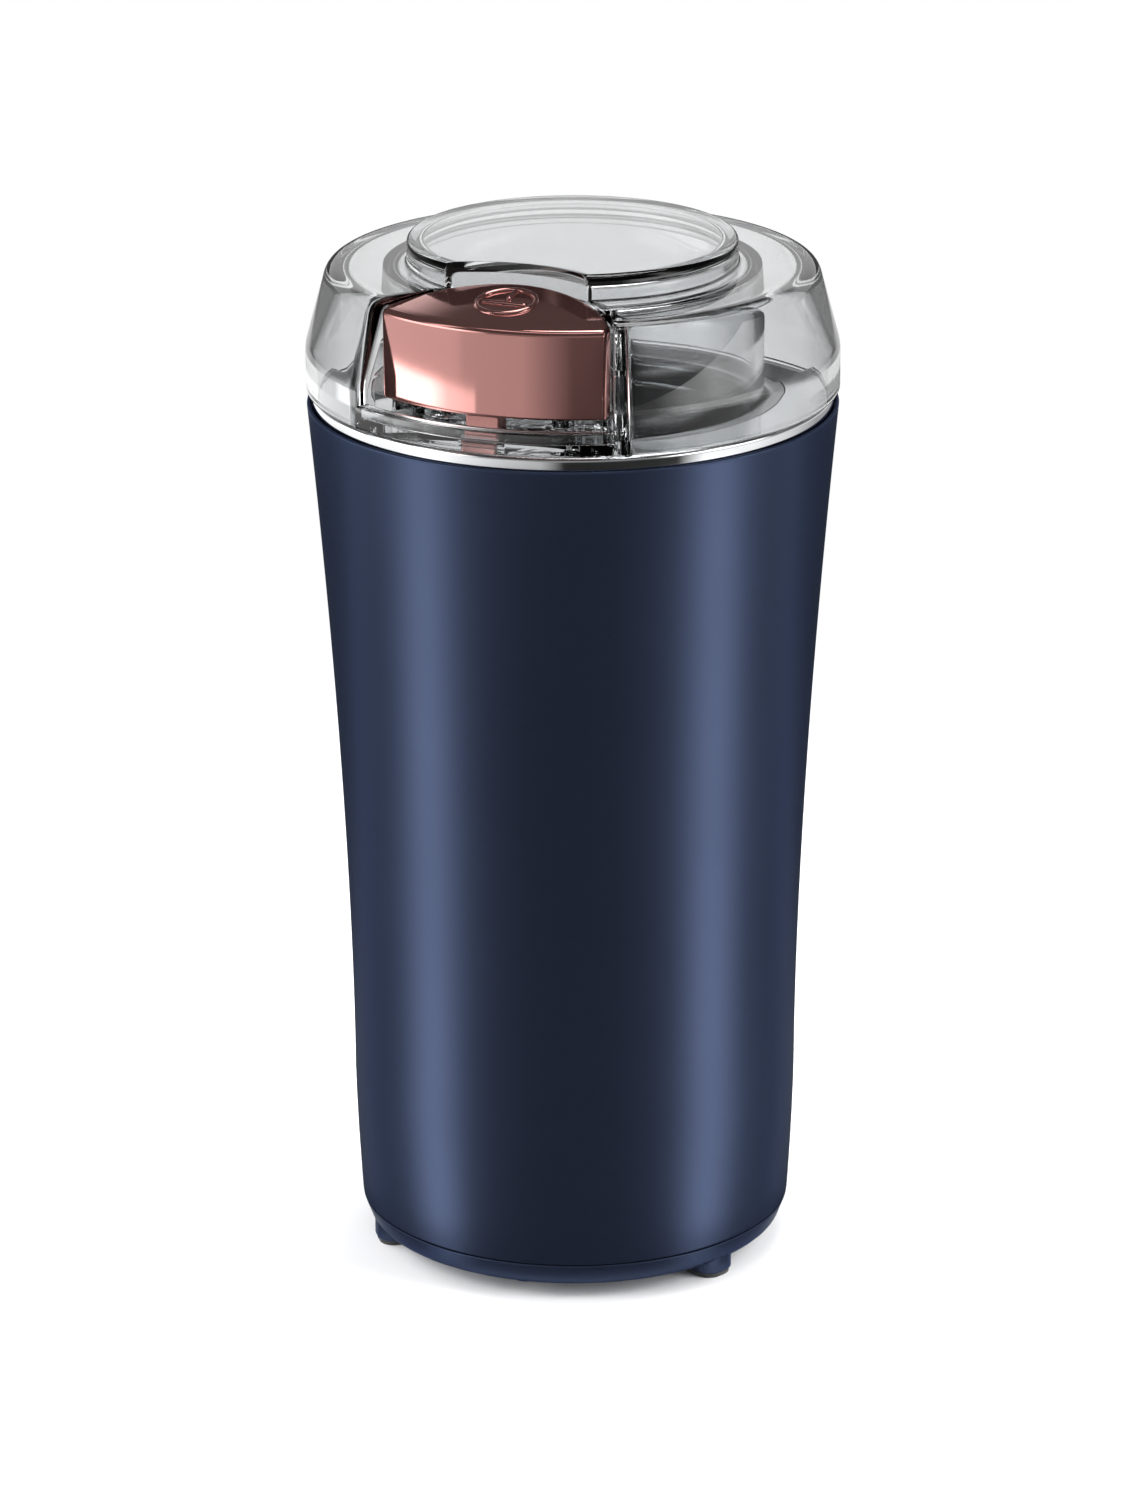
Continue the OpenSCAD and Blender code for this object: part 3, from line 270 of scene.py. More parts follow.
def sheen_band(out=0.17, tall=0.2, foot_in=0.0405, foot_steps=30, around=720):
    """An upright band round the grinder with its foot on the table, seen by glossy surfaces only. A ray
    that leaves a cylinder at an angle p runs at 2p and meets radius r at an angle q, where r sin(2p - q) =
    R sin(p), after a way of sqrt(r^2 - R^2 sin^2 p) - R cos p. It sinks there as it did on its way from
    the camera, whose height over the point it leaves gives the slope."""
    # The rows lie close where the ring and the button are mirrored
    wall = np.concatenate([np.linspace(0.0015, 0.114, 60), np.linspace(0.1145, 0.143, 150),
                           np.linspace(0.145, tall, 20)])
    radii = np.concatenate([np.linspace(foot_in, out, foot_steps), np.full(len(wall), out)])[:, None]
    grinder_r = np.minimum(0.043, radii * 0.97)
    heights = np.concatenate([np.full(foot_steps, 0.0006), wall])[:, None]
    q = np.radians(np.linspace(-180, 180, around, endpoint=False)) + 0 * radii
    p = q / 2
    for _ in range(60):
        p = (q + np.arcsin(grinder_r * np.sin(p) / radii)) / 2
    way = np.sqrt(radii ** 2 - (grinder_r * np.sin(p)) ** 2) - grinder_r * np.cos(p)
    share = way / (camera_out - grinder_r * np.cos(p))
    glow = mirrored_glow(np.degrees(2 * p), (heights + share * camera_z) / (1 + share) / MM)
    u = q + camera_turn - math.pi / 2
    grid = np.stack([radii * np.cos(u), radii * np.sin(u), heights + 0 * u], -1)
    glowing("sheen_band", grid, glow, mirrored_only=True)


sheen_band()


def room_glow(turn, rise):
    """Strength of the room round the soft boxes by the turn from the camera's side and by the angle of
    rise, both in degrees: dark, with a pale wall behind, a light strip overhead and one at each side."""
    at_sides = 1.8 * np.exp(-((abs(turn) - 68) / 6) ** 2) * (1 - step(rise, 45, 10))
    overhead = 1.35 * step(rise, 56, 6) * (1 - step(rise, 68, 6)) * (1 - step(abs(turn), 70, 20))
    behind = 0.95 * step(abs(turn), 130, 36) * (1 - step(rise, 28, 4))
    return 0.05 + at_sides + overhead + behind


def room(out=1.3, middle=0.17):
    """A dome over the table round the grinder's lid, which only clear and glossy surfaces see."""
    rise = np.radians(np.linspace(-6.5, 89, 64))[:, None]
    turn = np.radians(np.linspace(-180, 180, 144, endpoint=False))
    u = turn + camera_turn - math.pi / 2
    grid = out * np.stack([np.cos(rise) * np.cos(u), np.cos(rise) * np.sin(u), np.sin(rise) + 0 * u], -1)
    glow = room_glow(np.degrees(turn) + 0 * rise, np.degrees(rise) + 0 * turn)
    glowing("room_dome", grid + (0, 0, middle), glow)


room()

# ---- Housing sleeve ----
# The tapered outside of the grinder: one moulding in dark navy plastic with a fine metallic paint.
# It is drawn in to a waist near the base, flares to the rim, and is screwed to the base from below.
foot_h, body_h = 3.0, 155.7
rim_z = foot_h + body_h
waist_r, foot_r, rim_r, waist_h, flare = 40.4, 39.0, 47.4, 30.0, 1.7
sleeve_low, ring_r, seat_z = 7.65, 46.5, 157.8


def sleeve_radius(z):
    """Outer radius at height z: below the waist it grows as 1 - (1 - h/waist)^1.5, and above it
    as the height over the waist to the power of the flare."""
    h = np.asarray(z, float) - foot_h
    low = waist_r - (waist_r - foot_r) * (1 - np.clip(h / waist_h, 0, 1)) ** 1.5
    high = (rim_r - waist_r) * np.clip((h - waist_h) / (body_h - waist_h), 0, None) ** flare
    return low + high


def rounded(corners, steps=5):
    """A profile of (radius, height, rounding) corners, with each corner swept as a quadratic curve
    from one rounding's length before it to one after it."""
    corners = [np.array(c, float) for c in corners]
    points = []
    for k, (x, y, r) in enumerate(corners):
        here = np.array([x, y])
        if r == 0 or k in (0, len(corners) - 1):
            points.append([x, y])
            continue
        before, after = corners[k - 1][:2] - here, corners[k + 1][:2] - here
        a = here + before / np.linalg.norm(before) * min(r, np.linalg.norm(before) / 2)
        b = here + after / np.linalg.norm(after) * min(r, np.linalg.norm(after) / 2)
        t = np.linspace(0, 1, steps + 1)[:, None]
        points += ((1 - t) ** 2 * a + 2 * t * (1 - t) * here + t ** 2 * b).tolist()
    return np.array(points)


def closed_faces(rows, count):
    """Corner numbers of a skin through that many rows of count points, which closes with a fan at each
    end: to the first point after its last row, and to the second."""
    j, n = np.arange(count), rows * count
    first = np.stack([(j + 1) % count, j, j * 0 + n], 1)
    last = np.stack([n - count + j, n - count + (j + 1) % count, j * 0 + n + 1], 1)
    return quads(rows, count).tolist() + first.tolist() + last.tolist()


def fanned(name, rows, first, last, smooth_below=40):
    """A closed skin through rows of equal count, in millimetres, its ends closed by fans to two points."""
    points = np.concatenate([*rows, [first, last]]) * MM
    return new_object(name, points, closed_faces(len(rows), len(rows[0])), smooth_below)


def turned(name, profile, around=256, loop=True):
    """The profile carried round the Z axis: (r cos u, r sin u, z). A loop closes on itself, and
    otherwise its two ends lie on the axis and are closed by fans."""
    u = np.linspace(0, 2 * math.pi, around, endpoint=False)
    r, z = np.asarray(profile, float).T[..., None]
    rows = np.stack([r * np.cos(u), r * np.sin(u), z + 0 * u], -1)
    if not loop:
        return fanned(name, rows[1:-1], rows[0, 0], rows[-1, 0])
    return new_object(name, rows.reshape(-1, 3) * MM, quads(len(rows), around, wrap_rows=True))


def settle(obj):
    """Applies the object's modifiers to its mesh."""
    bpy.context.view_layer.update()
    made = bpy.data.meshes.new_from_object(obj.evaluated_get(bpy.context.evaluated_depsgraph_get()))
    obj.modifiers.clear()
    obj.data = made
    made.materials.clear()


def cut(obj, *tools, operation="DIFFERENCE", smooth_below=40):
    """The object with the tools cut out of it, or joined to it. The tools are used up."""
    for tool in tools:
        modifier = obj.modifiers.new("cut", "BOOLEAN")
        modifier.operation, modifier.object, modifier.solver = operation, tool, "MANIFOLD"
    settle(obj)
    obj.data.set_sharp_from_angle(angle=math.radians(smooth_below))
    # Large faces keep their own direction, and the small ones of the roundings bend
    normals = obj.modifiers.new("normals", "WEIGHTED_NORMAL")
    normals.keep_sharp, normals.weight = True, 60
    settle(obj)
    for tool in tools:
        bpy.data.objects.remove(tool)
    return obj


wall_z = np.linspace(10.5, rim_z - 1.2, 90)
inside_low_r, inside_top_r, ring_seat_r = 37.8, 43.6, ring_r + 0.2
profile = np.concatenate([
    rounded([(38.2, sleeve_low, 0), (sleeve_radius(sleeve_low), sleeve_low, 0.35),
             (sleeve_radius(sleeve_low + 1), sleeve_low + 1, 0)])[:-1],
    np.stack([sleeve_radius(wall_z), wall_z], 1),
    rounded([(sleeve_radius(rim_z - 1), rim_z - 1, 0), (rim_r, rim_z, 0.5), (ring_seat_r, rim_z, 0.25),
             (ring_seat_r, seat_z, 0), (inside_top_r + 1, seat_z, 0), (inside_top_r, seat_z - 12, 0),
             (inside_low_r, 20, 0), (37.0, sleeve_low, 0)])])
sleeve = turned("housing_sleeve", profile)


def rod(name, radius, start, end, around=48):
    """A plain round bar from start to end, in millimetres, used to cut holes."""
    start, end = np.array(start, float), np.array(end, float)
    axis = (end - start) / np.linalg.norm(end - start)
    side = np.cross(axis, [0, 0, 1] if abs(axis[2]) < 0.9 else [1, 0, 0])
    side /= np.linalg.norm(side)
    u = np.linspace(0, 2 * math.pi, around, endpoint=False)[:, None]
    ring = radius * (np.cos(u) * side + np.sin(u) * np.cross(axis, side))
    return fanned(name, [start + ring, end + ring], start, end)


inlet_z, inlet_r, flange_r, flange_seat = 20, 5.0, 6.4, 39.2
cut(sleeve, rod("inlet_hole", inlet_r, (0, 30, inlet_z), (0, 60, inlet_z)),
    rod("inlet_seat", flange_r + 0.4, (0, flange_seat, inlet_z), (0, 60, inlet_z)))


def texture_group(name, spun):
    """Noise for materials: a fine Grain and coarser Patches. Spun grain depends on (r, z) alone, which
    gives the fine rings round the Z axis that spinning and polishing leave."""
    group = bpy.data.node_groups.new(name, "ShaderNodeTree")
    for socket, way in (("Size", "INPUT"), ("Patches", "INPUT"), ("Grain", "OUTPUT"), ("Patch", "OUTPUT")):
        group.interface.new_socket(socket, in_out=way, socket_type="NodeSocketFloat")
    start, end = group.nodes.new("NodeGroupInput"), group.nodes.new("NodeGroupOutput")
    where = fine = add(group, "ShaderNodeTexCoord").outputs["Object"]
    if spun:
        split = add(group, "ShaderNodeSeparateXYZ", where).outputs
        flat = add(group, "ShaderNodeCombineXYZ", split["X"], split["Y"])
        radius = add(group, "ShaderNodeVectorMath", flat.outputs[0], operation="LENGTH")
        joined = add(group, "ShaderNodeCombineXYZ", radius.outputs["Value"])
        group.links.new(split["Z"], joined.inputs["Z"])
        fine = joined.outputs[0]
    for size, output, vector, detail in (("Size", "Grain", fine, 3),
                                         ("Patches", "Patch", where, 3 if spun else 4)):
        noise = add(group, "ShaderNodeTexNoise", vector, Detail=detail)
        group.links.new(start.outputs[size], noise.inputs["Scale"])
        group.links.new(noise.outputs["Fac"], end.inputs[output])
    return group


fine_grain, spun_rings = texture_group("fine_grain", False), texture_group("spun_rings", True)


def finish_material(name, dark, light, rough, metallic=0.0, grain=2500, patches=25, bump=0.0,
                    texture=fine_grain, **fixed):
    """A Principled material whose colour runs from dark to light and whose roughness runs over the
    rough pair with the grain and the patches. The fixed values go straight to the shader's sockets."""
    material, tree, output = new_material(name)
    spots = add(tree, "ShaderNodeGroup", node_tree=texture, Size=grain, Patches=patches).outputs
    colour = add(tree, "ShaderNodeMix", spots["Grain"], data_type="RGBA", A=(*dark, 1), B=(*light, 1))
    spread = add(tree, "ShaderNodeMapRange", spots["Patch"], From_Min=0.3, From_Max=0.7,
                 To_Min=rough[0], To_Max=rough[1])
    shader = add(tree, "ShaderNodeBsdfPrincipled", colour.outputs["Result"], Metallic=metallic, **fixed)
    tree.links.new(spread.outputs["Result"], shader.inputs["Roughness"])
    if bump:
        relief = add(tree, "ShaderNodeBump", Strength=bump, Distance=0.00005)
        tree.links.new(spots["Grain"], relief.inputs["Height"])
        tree.links.new(relief.outputs["Normal"], shader.inputs["Normal"])
    tree.links.new(shader.outputs[0], output.inputs["Surface"])
    return material


navy_paint = finish_material("navy_paint", (0.032, 0.043, 0.080), (0.040, 0.053, 0.095), (0.30, 0.34),
                             metallic=0.8, grain=6000, bump=0.05, Specular_IOR_Level=0.4,
                             Specular_Tint=(0.3, 0.34, 0.42, 1))
sleeve.data.materials.append(navy_paint)
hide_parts("body_shell")
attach(sleeve, "housing")

# ---- Base cover ----
# The lowest band with its three moulded feet, in the same painted plastic. Its band leans in below the
# sleeve, a spigot stands up inside, and the floor has air slots and the wells of three screws.
parting_z, band_lean, base_round, base_floor = 7.5, math.radians(20), 2.0, 5.0
spigot_gap, spigot_wall, spigot_rise = 2.7, 1.6, 3.0
foot_turns = [math.radians(-143 + 120 * i) for i in range(3)]
foot_out, foot_w, foot_corner, pad_t = 38.0, 7.5, 3.0, 0.8
screw_turns = [math.radians(-83 + 120 * i) for i in range(3)]
screw_out, boss_r, boss_z, well_r, well_z, hole_r = 34.2, 3.4, 6.65, 2.9, 5.4, 1.7
slot_pitch, slot_w, slots_r, middle_rib = 4.2, 2.4, 24, 4


def arc(centre, radius, start, end, steps):
    """Points of an arc from one angle to another, both in radians."""
    a = np.linspace(start, end, steps)
    return np.stack([centre[0] + radius * np.cos(a), centre[1] + radius * np.sin(a)], 1)


def block(name, low, high):
    """A plain box between two corners, in millimetres, used to cut slots."""
    grid = np.array([[(x, y, z) for x, y in ((0, 0), (1, 0), (1, 1), (0, 1))] for z in (0, 1)]).reshape(-1, 3)
    low, high = np.array(low, float), np.array(high, float)
    faces = quads(2, 4).tolist() + [[3, 2, 1, 0], [4, 5, 6, 7]]
    return new_object(name, (low + grid * (high - low)) * MM, faces)


def soft_block(name, low, high, r):
    """A block with rounded edges: rows of a rounded rectangle, drawn in by r (1 - sin a) at the height
    r (1 - cos a) from each end."""
    low, high = np.array(low, float), np.array(high, float)
    middle, half = (low + high) / 2, (high - low) / 2
    rows, turns = [], np.radians([0, 22.5, 45, 67.5, 90])
    quarters = (1, 1, 0), (-1, 1, math.pi / 2), (-1, -1, math.pi), (1, -1, 1.5 * math.pi)
    for a, end in [(a, -1) for a in turns] + [(a, 1) for a in turns[::-1]]:
        inset = r * (1 - math.sin(a))
        corner = max(r - inset, 0.02)
        x, y = half[:2] - inset - corner
        plan = np.concatenate([arc((sx * x, sy * y), corner, start, start + math.pi / 2, 5)
                               for sx, sy, start in quarters])
        height = middle[2] + end * (half[2] - r * (1 - math.cos(a)))
        rows.append(np.column_stack([plan + middle[:2], np.full(len(plan), height)]))
    return fanned(name, rows, (*middle[:2], low[2]), (*middle[:2], high[2]))


def moved(obj, turn=0.0, to=(0, 0, 0)):
    """The object's mesh turned about the Z axis by the angle and then shifted, in millimetres."""
    obj.data.transform(Matrix.Translation([v * MM for v in to]) @ Matrix.Rotation(turn, 4, "Z"))
    return obj


def post(name, turn, outward, w, corner, low, high, edge=0.5):
    """An upright post at that turn: its plan has two round outer corners, and its lower edge is rounded
    by drawing the plan in along a quarter circle."""
    depth, half_depth = 6.5, 3.2
    plan = np.concatenate([
        arc((outward - corner, corner - w / 2), corner, -math.pi / 2, 0, 10),
        arc((outward - corner, w / 2 - corner), corner, 0, math.pi / 2, 10),
        [[outward - depth, w / 2], [outward - depth, -w / 2]]])
    middle, half = np.array([outward - half_depth, 0]), np.array([half_depth, w / 2])
    rows = []
    for a in np.radians([0, 22.5, 45, 67.5, 90]):
        shrunk = middle + (plan - middle) * (1 - edge * (1 - math.sin(a)) / half)
        rows.append(np.column_stack([shrunk, np.full(len(plan), low + edge * (1 - math.cos(a)))]))
    rows.append(np.column_stack([plan, np.full(len(plan), high)]))
    return moved(fanned(name, rows, (*middle, low), (*middle, high)), turn)


band_r = float(sleeve_radius(parting_z))
turn_z = foot_h + base_round * (1 - math.sin(band_lean))
corner_r = band_r - (parting_z - turn_z) * math.tan(band_lean) - base_round * math.cos(band_lean)
spigot_r, spigot_z = band_r - spigot_gap, parting_z + spigot_rise
base = turned("base_moulding", np.concatenate([
    [[0, foot_h], [20, foot_h]],
    arc((corner_r, foot_h + base_round), base_round, -math.pi / 2, -band_lean, 12),
    [[band_r - 0.06, parting_z - 0.25], [band_r - 0.2, parting_z], [spigot_r, parting_z],
     [spigot_r, spigot_z], [spigot_r - spigot_wall, spigot_z], [spigot_r - spigot_wall, base_floor],
     [20, base_floor], [0, base_floor]]]), loop=False)
feet = [post("foot", turn, foot_out, foot_w, foot_corner, pad_t, base_floor - 0.2) for turn in foot_turns]
cut(base, *feet, operation="UNION")
wells = [(screw_out * math.cos(a), screw_out * math.sin(a)) for a in screw_turns]
cut(base, *[rod("boss", boss_r, (x, y, foot_h + 0.3), (x, y, boss_z)) for x, y in wells], operation="UNION")
air_slots = []
for y in (slot_pitch * i for i in range(-4, 5)):
    reach = math.sqrt(slots_r ** 2 - y * y)
    for left, right in ((-reach, -middle_rib / 2), (middle_rib / 2, reach)):
        air_slots.append(block("air_slot", (left, y - slot_w / 2, foot_h - 1),
                               (right, y + slot_w / 2, base_floor + 1)))
cut(base, *air_slots, *[rod("well", well_r, (x, y, 0), (x, y, well_z)) for x, y in wells],
    *[rod("screw_hole", hole_r, (x, y, 4), (x, y, 9)) for x, y in wells])
base.data.materials.append(navy_paint)
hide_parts("base_cover")
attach(base, "housing")

# ---- Steel ring and grinding bowl ----
# The ring is rolled from polished stainless sheet and sits inside the sleeve's rim. The bowl is
# deep-drawn from the same sheet, its lip turned out under the ring's inner edge.
ring_z, deck_z, skirt_z = 161.0, 160.2, 158.2
lip_r, bowl_r, bowl_floor_z, sheet_t, bowl_corner, neck_r = 37.4, 34.0, 119.0, 0.8, 8.0, 7.0
steel_ring = turned("polished_ring", rounded([
    (lip_r + 0.2, deck_z, 0), (ring_r - 1.6, deck_z, 0), (ring_r - sheet_t, deck_z, 0.5),
    (ring_r - sheet_t, skirt_z, 0.1), (ring_r, skirt_z, 0.25), (ring_r, skirt_z + 0.4, 0),
    (ring_r, ring_z, 0.8), (lip_r + 0.2, ring_z, 0.15)], steps=8))

# The button's tab passes through a slot in the ring
tab_w, tab_out, tab_t, gap = 6.3, 42.3, 3.6, 0.3
slot_front, slot_back = -tab_out - gap, -tab_out + tab_t + gap
cut(steel_ring, block("ring_slot", (-tab_w / 2 - 2 * gap, slot_front, deck_z - 1),
                      (tab_w / 2 + 2 * gap, slot_back, ring_z + 1)))

corner = bowl_r - bowl_corner, bowl_floor_z + bowl_corner
bowl = turned("steel_bowl", np.concatenate([
    [[neck_r, bowl_floor_z - sheet_t]], arc(corner, bowl_corner + sheet_t, -math.pi / 2, 0, 13),
    rounded([(bowl_r + sheet_t, deck_z - 10, 0), (bowl_r + sheet_t, deck_z, 0.6), (lip_r, deck_z, 0.1),
             (lip_r, ring_z, 0.15), (bowl_r, ring_z, 1.6), (bowl_r, deck_z - 10, 0)], steps=8),
    arc(corner, bowl_corner, 0, -math.pi / 2, 13), [[neck_r, bowl_floor_z]]]))

polished_steel = finish_material("polished_steel", (0.74, 0.75, 0.76), (0.80, 0.81, 0.82), (0.06, 0.10),
                                 metallic=1.0, grain=1500, patches=60, bump=0.02, texture=spun_rings)
drawn_steel = finish_material("drawn_steel", (0.40, 0.405, 0.41), (0.50, 0.505, 0.51), (0.16, 0.26),
                              metallic=1.0, grain=1200, patches=40, bump=0.25, texture=spun_rings)
steel_ring.data.materials.append(polished_steel)
bowl.data.materials.append(drawn_steel)
for obj, node in ((steel_ring, "steel_ring"), (bowl, "grinding_bowl")):
    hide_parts(node)
    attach(obj, "housing")

# ---- Clear lid ----
# One moulding of clear hard plastic: an upright band, a sloping shoulder, a flat top with a raised
# disc, a round pocket for the button, and an inner wall that reaches into the bowl.
lid_z, crease_z, plateau_z, disc_top = 161.4, 169.0, 184.0, 188.6
lid_r, plateau_r, disc_r = 47.5, 41.6, 29.4
pocket_out, pocket_r, pocket_wall = 46.5, 24.2, 2.0
sill_z, floor_z, lid_wall, lip_z = 165.5, 163.0, 2.2, 156.0
chamber_r, chamber_wall = 33.5, 1.6
lug_low, lug_high, travel = 169.9, 172.5, 3
# Points of the plan inside every outline, on which the fans of its ends meet
low_hub, high_hub, pocket_hub = (0, 8), (0, 2), (0, -35)


def notched(radius, notch_r, fillet, around=200, inside=60, turn_steps=8):
    """Outline of a circle about the axis with a round bite out of its -Y side: the long arc, a small
    fillet that touches both circles, the bite's arc and the second fillet."""
    # The fillet's centre lies radius - fillet from the axis and notch_r + fillet from the bite's centre
    a, b, c = radius - fillet, notch_r + fillet, pocket_out
    y = (b * b - a * a - c * c) / (2 * c)
    x = math.sqrt(a * a - y * y)
    outer_a = math.atan2(y, x)
    bite_a = math.atan2(y + c, x)
    outer = arc((0, 0), radius, outer_a, math.pi - outer_a, around)
    left = arc((-x, y), fillet, math.pi - outer_a, 2 * math.pi - bite_a, turn_steps + 2)[1:-1]
    bite = arc((0, -c), notch_r, math.pi - bite_a, bite_a, inside)
    return np.concatenate([outer, left, bite, left[::-1] * [-1, 1]])


def stacked(name, outlines, heights, first_hub, last_hub):
    """A closed skin through outlines of equal count, each at its height, in millimetres. Its first
    and last outlines are closed by fans to the given points of the plan."""
    rows = [np.column_stack([o, np.full(len(o), float(h))]) for o, h in zip(outlines, heights)]
    return fanned(name, rows, (*first_hub, heights[0]), (*last_hub, heights[-1]), 30)


# Up the outside: lower edge, band, slope, round shoulder, flat top, then the disc's wall and its edge.
# The rows end just outside the pocket, and their fillets shrink towards it.
disc_in, hollow_in, fillet = 24.4, 22.5, 0.7
lid_foot = rounded([(lid_r - 0.5, lid_z, 0), (lid_r, lid_z, 0.4), (lid_r, lid_z + 3, 0)])[:-1]
shell = np.concatenate([lid_foot, rounded([
    (lid_r, lid_z, 0), (lid_r, crease_z, 1.2), (plateau_r + 1.9, plateau_z - 0.3, 2.4),
    (disc_r, plateau_z, 0.5), (disc_r, disc_top, 1.5), (disc_in, disc_top, 0)], steps=8)[1:]])
outlines = [notched(r, pocket_r, fillet * min(1, (r - 24.0) / 3)) for r in shell[:, 0]]
lid = stacked("clear_lid_moulding", outlines, shell[:, 1], low_hub, high_hub)


def cavity_outline(radius, fillet=1.2, outer=160, inner=120, side=24, turn_steps=6):
    """Outline of the space behind the lid's outer wall: out along the wall, round the pocket's wall,
    and back along the chamber's wall, with a fillet at each of its four corners."""
    bite, c = pocket_r + pocket_wall, pocket_out

    def touch(a, b):
        """Upper half of the point at distance a from the axis and b from the pocket's centre."""
        y = (b * b - a * a - c * c) / (2 * c)
        return math.sqrt(a * a - y * y), y

    ox, oy = touch(radius - fillet, bite + fillet)
    ix, iy = touch(chamber_r + fillet, bite + fillet)
    out_a, in_a = math.atan2(oy, ox), math.atan2(iy, ix)
    out_b, in_b = math.atan2(oy + c, ox), math.atan2(iy + c, ix)
    parts = [
        arc((0, 0), radius, out_a, math.pi - out_a, outer),
        arc((-ox, oy), fillet, math.pi - out_a, 2 * math.pi - out_b, turn_steps)[1:-1],
        arc((0, -c), bite, math.pi - out_b, math.pi - in_b, side),
        arc((-ix, iy), fillet, -in_b, -in_a, turn_steps)[1:-1],
        arc((0, 0), chamber_r, math.pi - in_a, in_a, inner)]
    right_side = [part[::-1] * [-1, 1] for part in parts[1:4]][::-1]
    return np.concatenate(parts + right_side)


roof_z = plateau_z - lid_wall
cavity = rounded([(lid_r - lid_wall, lid_z - 4, 0), (lid_r - lid_wall, crease_z - 0.6, 1.2),
                  (plateau_r - 1.2, roof_z, 1.6), (plateau_r - 3.5, roof_z, 0)], steps=6)
cavity_loops = [cavity_outline(r) for r in cavity[:, 0]]


def skin_with_flat_ends(name, loops, heights):
    """A closed skin through C-shaped outlines, each at its height, its first and last filled flat."""
    count = len(loops[0])
    points = np.concatenate([np.column_stack([o, np.full(count, float(h))]) for o, h in zip(loops, heights)])
    obj = new_object(name, points * MM, quads(len(loops), count).tolist(), 30)
    shell = bmesh.new()
    shell.from_mesh(obj.data)
    bmesh.ops.edgeloop_fill(shell, edges=[e for e in shell.edges if e.is_boundary])
    bmesh.ops.recalc_face_normals(shell, faces=shell.faces)
    shell.to_mesh(obj.data)
    shell.free()
    return obj


cavity_tool = skin_with_flat_ends("lid_hollow", cavity_loops, cavity[:, 1])
chamber_in = chamber_r - chamber_wall
disc_hollow_r, disc_roof = disc_r - lid_wall, disc_top - lid_wall
chamber = rounded([(chamber_in, lid_z - 8, 0), (chamber_in, roof_z, 1.5), (disc_hollow_r, roof_z, 0.6),
                   (disc_hollow_r, disc_roof, 1.0), (hollow_in, disc_roof, 0)], steps=5)
chamber_loops = [notched(r, pocket_r + pocket_wall, 0.3 if r < 27 else 1.0) for r in chamber[:, 0]]
chamber_tool = stacked("chamber_hollow", chamber_loops, chamber[:, 1], low_hub, high_hub)
cut(lid, cavity_tool, chamber_tool, smooth_below=30)

# The ring that enters the bowl, the sill in front of the pocket, and the pocket's floor
lip_ring = turned("lid_lip", rounded([
    (chamber_in, lid_z + 1, 0), (chamber_in, lip_z, 0.3), (chamber_r, lip_z, 1.0),
    (chamber_r, lid_z + 1, 0)], steps=6))


def pocket_floor_plan(outer_r, back_r):
    """Plan of the pocket's floor: the lid's own circle in front and the pocket's circle behind."""
    c = pocket_out
    y = (back_r ** 2 - outer_r ** 2 - c * c) / (2 * c)
    x = math.sqrt(outer_r ** 2 - y * y)
    a, b = math.atan2(y, x), math.atan2(y + c, x)
    front_arc = arc((0, 0), outer_r, -math.pi - a, a, 90)
    back_arc = arc((0, -c), back_r, b, math.pi - b, 90)
    return np.concatenate([front_arc, back_arc[1:-1]])


floor_levels = rounded([(lid_r - 0.5, lid_z, 0), (lid_r, lid_z, 0.4), (lid_r, sill_z, 0.4),
                        (lid_r - 1.0, sill_z, 0)])
floor_piece = stacked("pocket_floor", [pocket_floor_plan(r, pocket_r + 0.8) for r in floor_levels[:, 0]],
                      floor_levels[:, 1], pocket_hub, pocket_hub)
sill_in = lid_r - lid_wall
well = rounded([(sill_in, sill_z + 2, 0), (sill_in, floor_z, 0.5), (sill_in - 1, floor_z, 0)])
well_tool = stacked("sill_well", [pocket_floor_plan(r, pocket_r - 0.02) for r in well[:, 0]],
                    well[:, 1], pocket_hub, pocket_hub)
cut(lid, floor_piece, operation="UNION", smooth_below=30)
cut(lid, lip_ring, operation="UNION", smooth_below=30)

# Slots for the button's tab and for its two retaining lugs
tab_slot = block("tab_slot", (-tab_w / 2 - gap, slot_front, lid_z - 1),
                 (tab_w / 2 + gap, slot_back, floor_z + 1))
lug_turns, lug_half = [math.radians(90 - side * 50) for side in (-1, 1)], 1.5
lug_slots = [moved(block("lug_slot", (pocket_r - 1, -lug_half - gap, lug_low - travel - gap),
                         (pocket_r + 4, lug_half + gap, lug_high + gap)), a, (0, -pocket_out, 0))
             for a in lug_turns]
cut(lid, well_tool, tab_slot, *lug_slots, smooth_below=30)

# Pins that centre the springs
spring_x, spring_y, pin_r, pin_top = 11.0, -33.6, 1.5, floor_z + 2.5
pin = [(0, floor_z - 0.5), (pin_r, floor_z - 0.5), (pin_r, pin_top - 0.4), (pin_r - 0.15, pin_top - 0.13),
       (pin_r - 0.4, pin_top), (0, pin_top)]
cut(lid, *[moved(turned("pin", pin, 32, loop=False), to=(x, spring_y, 0)) for x in (-spring_x, spring_x)],
    operation="UNION", smooth_below=30)

clear_plastic, tree, output = new_material("clear_plastic")
spots = add(tree, "ShaderNodeGroup", node_tree=fine_grain, Size=300, Patches=30)
spread = add(tree, "ShaderNodeMapRange", spots.outputs["Patch"], To_Min=0.0, To_Max=0.02)
shader = add(tree, "ShaderNodeBsdfPrincipled", Base_Color=(0.86, 0.87, 0.875, 1), Transmission_Weight=1,
             IOR=1.52)
tree.links.new(spread.outputs["Result"], shader.inputs["Roughness"])
tree.links.new(shader.outputs[0], output.inputs["Surface"])
lid.data.materials.append(clear_plastic)
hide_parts("clear_lid")
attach(lid, "lid")

